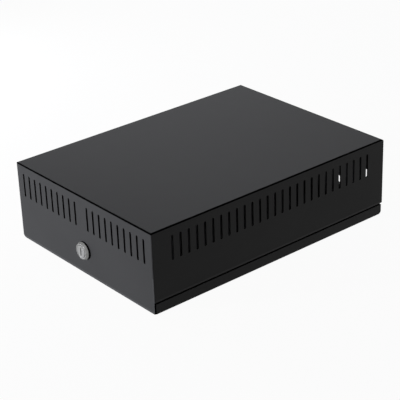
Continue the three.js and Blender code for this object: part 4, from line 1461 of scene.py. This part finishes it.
@dataclass
class Catch:
    """The bracket that the cam turns under, on two pressed studs with nuts."""

    case: Case
    right: float = -14.079
    length: float = 20.0
    upright: float = -158.0
    ledge_front: float = -168.0
    ledge_low: float = 39.0
    foot: float = 18.0
    stud: float = 2.0
    stud_play: float = 0.15
    stud_head: float = 3.0
    stud_head_sink: float = 0.2
    stud_end: float = 1.0
    stud_neck: float = 0.4
    stud_lead: float = 0.5
    stud_tip: float = 0.45
    stud_half_spacing: float = 5.0
    outer_bend: float = 2.0
    inner_bend: float = 0.5
    edge: float = 0.2
    nut_flats: float = 7.0
    nut: float = 3.2

    def stud_places(self) -> list[Pair]:
        """X and Y of the studs.

        Returns:
            The places, from left to right.
        """
        x = self.right - self.length / 2
        y = self.upright + self.case.sheet + (self.foot - self.case.sheet) / 2
        return [(x - self.stud_half_spacing, y), (x + self.stud_half_spacing, y)]

    def floor_cutters(self) -> list[Mesh]:
        """Cutters for the studs' holes in the tray's floor."""
        return bars(Along.Z, self.stud_head + self.stud_play, self.case.floor_cut, self.stud_places(), 24)

    def bracket_mesh(self) -> Mesh:
        """Foot, upright and ledge, folded from one strip.

        Returns:
            The closed mesh.
        """
        sheet = self.case.sheet
        floor = sheet + self.case.coat_gap
        front, rear = self.upright, self.upright + self.foot
        corners = [
            (front, floor),
            (rear, floor),
            (rear, floor + sheet),
            (front + sheet, floor + sheet),
            (front + sheet, self.ledge_low + sheet),
            (self.ledge_front, self.ledge_low + sheet),
            (self.ledge_front, self.ledge_low),
            (front, self.ledge_low),
        ]
        outer, inner = self.outer_bend, self.inner_bend
        radii = (outer, 0, 0, inner, outer, 0, 0, inner)
        body = plate(Along.X, corners, (self.right - self.length, self.right), radii, 6)
        span = (0.0, floor + sheet + OVERRUN)
        holes = bars(Along.Z, self.stud + self.stud_play, span, self.stud_places(), 24)
        return ease(carve(body, holes), self.edge)

    def stud_mesh(self, at: Pair) -> Mesh:
        """One threaded stud with its flush head.

        Args:
            at: X and Y of its axis.

        Returns:
            The closed mesh.
        """
        sheet, gap = self.case.sheet, self.case.coat_gap
        top = 2 * sheet + 2 * gap + self.nut + self.stud_end
        profile = [(0.0, self.stud_head_sink), (self.stud_head, self.stud_head_sink), (self.stud_head, sheet)]
        thread_span = (sheet + self.stud_neck, top - self.stud_lead)
        profile += [(self.stud, sheet), *thread(self.stud, FINE_ROOT, thread_span, FINE_PITCH)]
        profile += [(self.stud - self.stud_tip, top), (0.0, top)]
        return lathe(Along.Z, profile, at, steps=32)

    def build(self, shop: Workshop) -> None:
        """Shapes and dresses the catch.

        Args:
            shop: Where pieces are finished.
        """
        shop.piece(self.bracket_mesh(), "catch_angle", Body.BASE, ROLLED_ZINC, "catch_bracket")
        seat = 2 * self.case.sheet + 2 * self.case.coat_gap
        for i, at in enumerate(self.stud_places(), 1):
            shop.piece(self.stud_mesh(at), f"pressed_stud_{i}", Body.BASE, BRIGHT_ZINC, f"catch_stud_{i}")
            nut = hex_nut(Along.Z, self.nut_flats, (seat, seat + self.nut), self.stud + self.stud_play, at)
            shop.piece(nut, f"angle_nut_{i}", Body.BASE, BRIGHT_ZINC, f"catch_nut_{i}")


@dataclass(frozen=True)
class Port:
    """One cable port: place, bore, wall hole and lip of its grommet."""

    label: str
    centre: Pair
    bore: float
    groove: float
    lip: float


@dataclass
class Ports:
    """The two cable ports in the rear wall, each with a rubber grommet."""

    case: Case
    lip: float = 2.0
    play: float = 0.1
    soft_share: float = 0.55
    tight_share: float = 0.15
    ports: tuple[Port, ...] = (
        Port("large", (108.6, 40.1), 13.5, 15.5, 17.0),
        Port("small", (57.5, 23.2), 6.4, 8.0, 10.2),
    )

    def wall_cutters(self) -> list[Mesh]:
        """Cutters for the grommets' holes in the rear wall.

        Returns:
            A cutter for each port.
        """
        return [
            bar(Along.Y, port.groove + self.play, self.case.rear_cut, port.centre, 48) for port in self.ports
        ]

    def grommet_mesh(self, port: Port) -> Mesh:
        """A rubber ring with round lips and a groove for the wall.

        Args:
            port: The port that it lines.

        Returns:
            The closed mesh.
        """
        near = self.case.half_depth + self.case.coat_gap
        far = self.case.half_depth - self.case.sheet - self.case.coat_gap
        profile = [
            (port.bore, far - self.lip),
            (port.lip, far - self.lip),
            (port.lip, far),
            (port.groove, far),
            (port.groove, near),
            (port.lip, near),
            (port.lip, near + self.lip),
            (port.bore, near + self.lip),
        ]
        soft, tight = self.lip * self.soft_share, self.lip * self.tight_share
        return lathe(Along.Y, profile, port.centre, (tight, soft, tight, 0, 0, tight, soft, tight * 2), 64, 5)

    def build(self, shop: Workshop) -> None:
        """Shapes and dresses the grommets.

        Args:
            shop: Where pieces are finished.
        """
        for port in self.ports:
            name = f"rubber_ring_{port.label}"
            shop.piece(self.grommet_mesh(port), name, Body.BASE, MATT_RUBBER, f"cable_grommet_{port.label}")


@dataclass
class Fan:
    """The 60 mm fan inside the rear wall, its wire guard outside, and four screws with nuts."""

    case: Case
    half: float = 30.0
    depth: float = 20.0
    duct_wall: float = 1.6
    duct_inset: float = 0.2
    duct_end: float = 1.0
    flange: float = 3.0
    corner: float = 4.0
    hole_inset: float = 5.0
    strut_width: float = 2.6
    strut: float = 2.0
    struts: int = 4
    motor: float = 14.0
    motor_rim: float = 1.0
    motor_slope: float = 1.6
    motor_dip: float = 0.3
    hub: float = 13.5
    hub_length: float = 14.5
    hub_gap: float = 0.6
    hub_rim: float = 2.8
    hub_dip: float = 0.4
    spindle: float = 3.0
    spindle_length: float = 11.0
    spindle_play: float = 0.2
    spindle_sink: float = 1.0
    tip_gap: float = 1.0
    blades: int = 7
    chord: float = 15.0
    camber: float = 1.6
    blade: float = 1.3
    pitch: float = math.radians(38)
    screw: float = 2.0
    screw_play: float = 0.15
    screw_head: float = 3.7
    screw_head_height: float = 1.2
    screw_end: float = 1.0
    screw_tip: float = 0.45
    screw_root: float = 0.28
    screw_thread: Pair = (0.5, 12.5)
    screw_shank: float = 13.0
    screw_head_rim: float = 0.45
    screw_head_share: float = 0.6
    nut_flats: float = 7.0
    nut: float = 3.2
    guard: float = 1.4
    guard_first: float = 8.0
    guard_rings: int = 4
    wire_facets: int = 6  # of half a wire's round section
    spoke_share: float = 0.98  # of the wire's radius, so that spokes and rings don't share faces
    mouth: float = 1.2
    edge: float = 0.3
    arm_edge: float = 0.5
    blade_edge: float = 0.35
    blade_twist: float = 0.24
    root_share: float = 0.8
    cross_reach: float = 2.0
    cross_half: float = 0.4
    cross_depth: float = 0.75
    cross_edge: float = 0.06

    @property
    def centre(self) -> Pair:
        """X and Z of the fan's axis."""
        return (self.case.fan_x, self.case.fan_z)

    @property
    def rear(self) -> float:
        """Y of the frame's outlet face."""
        return self.case.half_depth - self.case.sheet - self.case.coat_gap

    @property
    def front(self) -> float:
        """Y of the frame's inlet face."""
        return self.rear - self.depth

    @property
    def duct(self) -> float:
        """Inner radius of the duct."""
        return self.half - self.duct_inset - self.duct_wall

    def hole_places(self) -> list[Pair]:
        """X and Z of the four screws.

        Returns:
            The places, the lower two first.
        """
        place = self.half - self.hole_inset
        x, z = self.centre
        return [(x + right * place, z + up * place) for up in (-1, 1) for right in (-1, 1)]

    def around(self, mesh: Mesh, turns: float) -> Mesh:
        """Turns a mesh from the world's Y axis by a share of a turn, and moves it to the fan's axis."""
        x, z = self.centre
        return moved(mesh, Matrix.Translation((x, 0, z)) @ Matrix.Rotation(turns * 2 * math.pi, 4, "Y"))

    def wall_cutters(self) -> list[Mesh]:
        """Cutters for the duct's and the screws' holes in the rear wall.

        Returns:
            The duct's cutter, and one for each screw.
        """
        span = self.case.rear_cut
        screws = bars(Along.Y, self.screw + self.screw_play, span, self.hole_places())
        return [bar(Along.Y, self.duct, span, self.centre, 64), *screws]

    def housing_mesh(self) -> Mesh:
        """Duct between two square flanges, with struts that carry the motor's base.

        Returns:
            The closed meshes of its parts in one.
        """
        x, z = self.centre
        square = rectangle((x - self.half, x + self.half), (z - self.half, z + self.half))
        corners = (self.corner,) * 4
        outer = self.half - self.duct_inset
        tube = (self.front + self.duct_end, self.rear - self.duct_end)
        body = bar(Along.Y, outer, tube, self.centre, 64)
        for start in (self.front, self.rear - self.flange):
            flange = plate(Along.Y, square, (start, start + self.flange), corners, 5)
            body = carve(body, [flange], "UNION")
        mouth = self.mouth
        throat = [
            (0.0, self.front - OVERRUN),
            (self.duct + mouth, self.front - OVERRUN),
            (self.duct + mouth, self.front),
            (self.duct, self.front + 2 * mouth),
            (self.duct, self.rear + OVERRUN),
            (0.0, self.rear + OVERRUN),
        ]
        body = carve(body, [lathe(Along.Y, throat, self.centre, (0, 0, 0.0, 1.0, 0, 0), 64)])
        span = (self.front - OVERRUN, self.rear + OVERRUN)
        holes = bars(Along.Y, self.screw + self.screw_play, span, self.hole_places())
        body = ease(carve(body, holes), self.edge)
        start, end = self.rear - self.strut, self.rear
        reach, half = self.duct + self.duct_wall / 2, self.strut_width / 2
        arms = [
            ease(self.around(block((0.0, start, -half), (reach, end, half)), i / self.struts), self.arm_edge)
            for i in range(self.struts)
        ]
        dip, rim = end - self.motor_dip, self.motor - self.motor_slope
        base = [(0.0, start), (self.motor, start), (self.motor, end), (self.motor - self.motor_rim, end)]
        base += [(rim, dip), (0.0, dip)]
        disc = lathe(Along.Y, base, self.centre, (0, 0.3, 0.5, 0.3, 0.2, 0), 48)
        post_span = (start - self.spindle_length, end - self.spindle_sink)
        post = bar(Along.Y, self.spindle, post_span, self.centre, 32)
        return gather([body, *arms, disc, post])

    def blade_mesh(self, middle: float) -> Mesh:
        """One blade: an arched edge drawn out from the hub, twisted on its way.

        Args:
            middle: Place of the blades' middle along the fan's axis.

        Returns:
            The closed mesh, round the world's Y axis.
        """
        mesh = bmesh.new()
        root, tip, rows, steps = self.hub * self.root_share, self.duct - self.tip_gap, 6, 8
        shares = [i / steps - 0.5 for i in range(steps + 1)]
        points = [Vector((self.chord * s, self.camber * (1 - 4 * s * s), 0.0)) for s in shares]
        turn = Matrix.Rotation(self.pitch + self.blade_twist / 2, 3, "Z")
        verts = [mesh.verts.new(turn @ point + Vector((0.0, middle, root))) for point in points]
        edges = [mesh.edges.new(pair) for pair in zip(verts, verts[1:])]
        for _ in range(rows):
            made = bmesh.ops.extrude_edge_only(mesh, edges=edges)["geom"]
            edges = [item for item in made if isinstance(item, bmesh.types.BMEdge)]
            ends = [item for item in made if isinstance(item, bmesh.types.BMVert)]
            bmesh.ops.translate(mesh, verts=ends, vec=(0.0, 0.0, (tip - root) / rows))
            twist = Matrix.Rotation(-self.blade_twist / rows, 3, "Z")
            bmesh.ops.rotate(mesh, verts=ends, cent=(0.0, middle, 0.0), matrix=twist)
        bmesh.ops.recalc_face_normals(mesh, faces=mesh.faces[:])
        bmesh.ops.solidify(mesh, geom=mesh.faces[:], thickness=self.blade)
        return ease(turn_out(mesh), self.blade_edge)

    def rotor_mesh(self) -> Mesh:
        """Hub with its blades.

        Returns:
            The closed meshes of its parts in one.
        """
        rear = self.rear - self.strut - self.hub_gap
        front, bottom = rear - self.hub_length, rear - self.spindle_length
        bore, rim = self.spindle + self.spindle_play, self.hub - self.hub_rim
        dip = front + self.hub_dip
        cup = [(0.0, dip), (rim - self.hub_dip, dip), (rim, front), (self.hub, front)]
        cup += [(self.hub, rear), (bore, rear), (bore, bottom), (0.0, bottom)]
        hub = lathe(Along.Y, cup, self.centre, (0, 0.2, 0.4, 1.6, 0.3, 0.2, 0, 0), 56, 5)
        middle = (rear + front) / 2
        blades = [self.around(self.blade_mesh(middle), i / self.blades) for i in range(self.blades)]
        return gather([hub, *blades])

    def guard_mesh(self) -> Mesh:
        """Finger guard of bent wire: rings, spokes and an eye for each screw.

        Returns:
            The closed meshes of its wires in one.
        """
        wire = self.guard / 2
        place = self.case.half_depth + self.case.coat_gap + wire
        gap = (self.duct - wire - self.guard_first) / (self.guard_rings - 1)
        radii = [self.guard_first + i * gap for i in range(self.guard_rings)]
        parts = [self.wire_ring(self.centre, radius, place, 64) for radius in radii]
        eye = self.screw + self.screw_play + wire
        reach = (self.half - self.hole_inset) * math.sqrt(2) - eye
        for i, at in enumerate(self.hole_places()):
            span = (self.guard_first, reach)
            spoke = bar(Along.X, wire * self.spoke_share, span, (place, 0.0), 16)
            parts += [self.wire_ring(at, eye, place, 24), self.around(spoke, (i + 0.5) / 4)]
        return gather(parts)

    def wire_ring(self, centre: Pair, radius: float, place: float, steps: int) -> Mesh:
        """One ring of wire round an axis along Y.

        Args:
            centre: X and Z of the axis.
            radius: Radius of the ring at the middle of the wire.
            place: Y of the ring.
            steps: Facets round the axis.

        Returns:
            The closed mesh.
        """
        wire = self.guard / 2
        turns = [i * math.pi / self.wire_facets for i in range(2 * self.wire_facets)]
        profile = [(radius + wire * math.cos(a), place + wire * math.sin(a)) for a in turns]
        return lathe(Along.Y, profile, centre, steps=steps)

    def screw_mesh(self, at: Pair) -> Mesh:
        """A pan-head screw with a cross recess.

        Args:
            at: X and Z of its axis.

        Returns:
            The closed mesh.
        """
        seat = self.case.half_depth + 2 * self.case.coat_gap + self.guard
        top = seat + self.screw_head_height
        end = self.front - self.case.coat_gap - self.nut - self.screw_end
        thread_span = tuple(end + place for place in self.screw_thread)
        rows = thread(self.screw, self.screw_root, thread_span, FINE_PITCH)
        profile = [(0.0, end), (self.screw - self.screw_tip, end), *rows]
        profile += [(self.screw, end + self.screw_shank), (self.screw, seat)]
        profile += [(self.screw_head, seat), (self.screw_head, seat + self.screw_head_rim)]
        profile += [(self.screw_head * self.screw_head_share, top), (0.0, top)]
        body = lathe(Along.Y, profile, at, steps=32)
        arms = []
        reach, half = self.cross_reach, self.cross_half
        for reach_x, reach_z in ((reach, half), (half, reach)):
            low = (at[0] - reach_x, top - self.cross_depth, at[1] - reach_z)
            arms.append(block(low, (at[0] + reach_x, top + OVERRUN, at[1] + reach_z)))
        cross = carve(arms[0], [arms[1]], "UNION")
        return ease(carve(body, [cross]), self.cross_edge)

    def build(self, shop: Workshop) -> None:
        """Shapes and dresses the fan.

        Args:
            shop: Where pieces are finished.
        """
        shop.piece(self.housing_mesh(), "fan_housing", Body.BASE, FAN_PLASTIC, "fan_frame")
        shop.piece(self.rotor_mesh(), "fan_impeller", Body.ROTOR, FAN_PLASTIC, "fan_rotor")
        shop.piece(self.guard_mesh(), "wire_guard", Body.BASE, BRIGHT_ZINC, "fan_guard")
        seat = self.front - self.case.coat_gap
        for i, at in enumerate(self.hole_places(), 1):
            shop.piece(self.screw_mesh(at), f"pan_screw_{i}", Body.BASE, BRIGHT_ZINC, f"fan_screw_{i}")
            nut = hex_nut(Along.Y, self.nut_flats, (seat - self.nut, seat), self.screw + self.screw_play, at)
            shop.piece(nut, f"screw_nut_{i}", Body.BASE, BRIGHT_ZINC, f"fan_nut_{i}")


# Studio


@dataclass(frozen=True)
class Lamp:
    """A soft lamp aimed at the box."""

    name: str
    azimuth: float
    elevation: float
    distance: float
    side: float
    power: float
    colour: Triple = (1.0, 1.0, 1.0)
    glints: bool = True


COOL_WHITE = (0.965, 0.985, 1.06)


@dataclass
class Studio:
    """Floor, backdrop, lamps and the camera at the photograph's viewing angle."""

    image_side: int = 400
    focal_pixels: float = 1357.9
    sensor: float = 36.0
    clip: Pair = (0.05, 50.0)
    azimuth: float = math.radians(50.714)
    elevation: float = math.radians(26.003)
    roll: float = math.radians(-2.093)
    distance: float = 1.6684
    target: Triple = (-0.0056, 0.0, 0.03172)
    ambient: float = 0.1
    floor_side: float = 12.0
    floor_colour: Triple = (0.22, 0.22, 0.22)
    floor_glow: float = 1.085
    floor_glow_share: float = 0.88
    lamps: Sequence[Lamp] = field(
        default_factory=lambda: (
            Lamp("front_lamp", -20.0, 6.9, 1.6, 0.15, 26.0, COOL_WHITE),
            Lamp("left_lamp", -80.0, 14.0, 0.85, 0.5, 9.8, COOL_WHITE, glints=False),
            Lamp("top_lamp", -130.0, 30.0, 1.6, 0.9, 3.95, COOL_WHITE),
            Lamp("rear_lamp", 125.0, 16.0, 1.2, 0.5, 2.15),
        )
    )

    @staticmethod
    def backward(azimuth: float, elevation: float) -> Vector:
        """Direction from the box to a viewer or lamp."""
        flat = math.cos(elevation)
        return Vector((math.sin(azimuth) * flat, -math.cos(azimuth) * flat, math.sin(elevation)))

    def camera(self) -> None:
        """Sets up the camera."""
        data = bpy.data.cameras.new("photo_camera")
        data.sensor_width = self.sensor
        data.lens = self.focal_pixels * self.sensor / self.image_side
        data.clip_start, data.clip_end = self.clip
        made = stand("photo_camera", data)
        back = self.backward(self.azimuth, self.elevation)
        across = Vector((0.0, 0.0, 1.0)).cross(back).normalized()
        upward = back.cross(across)
        right = math.cos(self.roll) * across + math.sin(self.roll) * upward
        up = -math.sin(self.roll) * across + math.cos(self.roll) * upward
        turn = Matrix((right, up, back)).transposed().to_4x4()
        made.matrix_world = Matrix.Translation(Vector(self.target) + self.distance * back) @ turn
        bpy.context.scene.camera = made

    def lamp(self, lamp: Lamp) -> None:
        """Sets up one lamp.

        Args:
            lamp: The lamp.
        """
        data = bpy.data.lights.new(lamp.name, "AREA")
        data.shape = "SQUARE"
        data.size = lamp.side
        data.energy = lamp.power
        data.color = lamp.colour
        made = stand(lamp.name, data)
        back = self.backward(math.radians(lamp.azimuth), math.radians(lamp.elevation))
        made.location = Vector(self.target) + lamp.distance * back
        made.rotation_euler = (-back).to_track_quat("-Z", "Y").to_euler()
        made.visible_camera = False
        made.visible_glossy = lamp.glints

    @staticmethod
    def seen(graph: Graph) -> Signal:
        """1 for what the camera, metal and glass show of the background, 0 for its light.

        Args:
            graph: The graph that asks.

        Returns:
            The node's value, 0 or 1.
        """
        path = graph.node("LightPath", {}, {}).socket.node.outputs
        kinds = ("Camera", "Glossy", "Transmission")
        camera, glossy, through = [Signal(graph, path[f"Is {kind} Ray"]) for kind in kinds]
        return camera.most(glossy).most(through)

    def world(self) -> None:
        """White backdrop that lights the box only a little."""
        graph = Graph(bpy.data.worlds.new("backdrop"))
        strength = self.ambient + (1.0 - self.ambient) * self.seen(graph)
        white = graph.node("Background", {}, {"Color": WHITE, "Strength": strength})
        bpy.context.scene.world = graph.finish(white, "OutputWorld")

    def floor(self) -> None:
        """Pale floor that keeps the box's shadow."""
        mesh = bmesh.new()
        bmesh.ops.create_grid(mesh, x_segments=1, y_segments=1, size=self.floor_side / 2)
        made = stand("floor", data_of(mesh, "floor"))
        graph = Graph(bpy.data.materials.new("pale_floor"))
        plain = graph.node("BsdfDiffuse", {}, {"Color": rgba(self.floor_colour)})
        glow = graph.node("Emission", {}, {"Color": WHITE, "Strength": self.floor_glow})
        share = self.floor_glow_share * self.seen(graph)
        made.data.materials.append(graph.finish(graph.node("MixShader", {}, {0: share, 1: plain, 2: glow})))

    def build(self) -> None:
        """Sets up the whole studio."""
        self.camera()
        self.world()
        self.floor()
        for lamp in self.lamps:
            self.lamp(lamp)
        bpy.context.scene.view_settings.view_transform = "Standard"
        LOG.info("studio: %d lamps", len(self.lamps))


def main() -> None:
    """Builds the studio and every sub-assembly."""
    logging.basicConfig(level=logging.INFO, format="%(name)s: %(message)s")
    Studio().build()
    shop = Workshop()
    case = Case()
    hinges, catch, ports, fan = Hinges(case), Catch(case), Ports(case), Fan(case)
    Cover(case).build(shop, hinges)
    Tray(case).build(shop, hinges, catch, ports, fan)
    Skirts(case).build(shop)
    hinges.build(shop)
    Lock(case).build(shop)
    catch.build(shop)
    ports.build(shop)
    fan.build(shop)


if __name__ == "__main__":
    main()
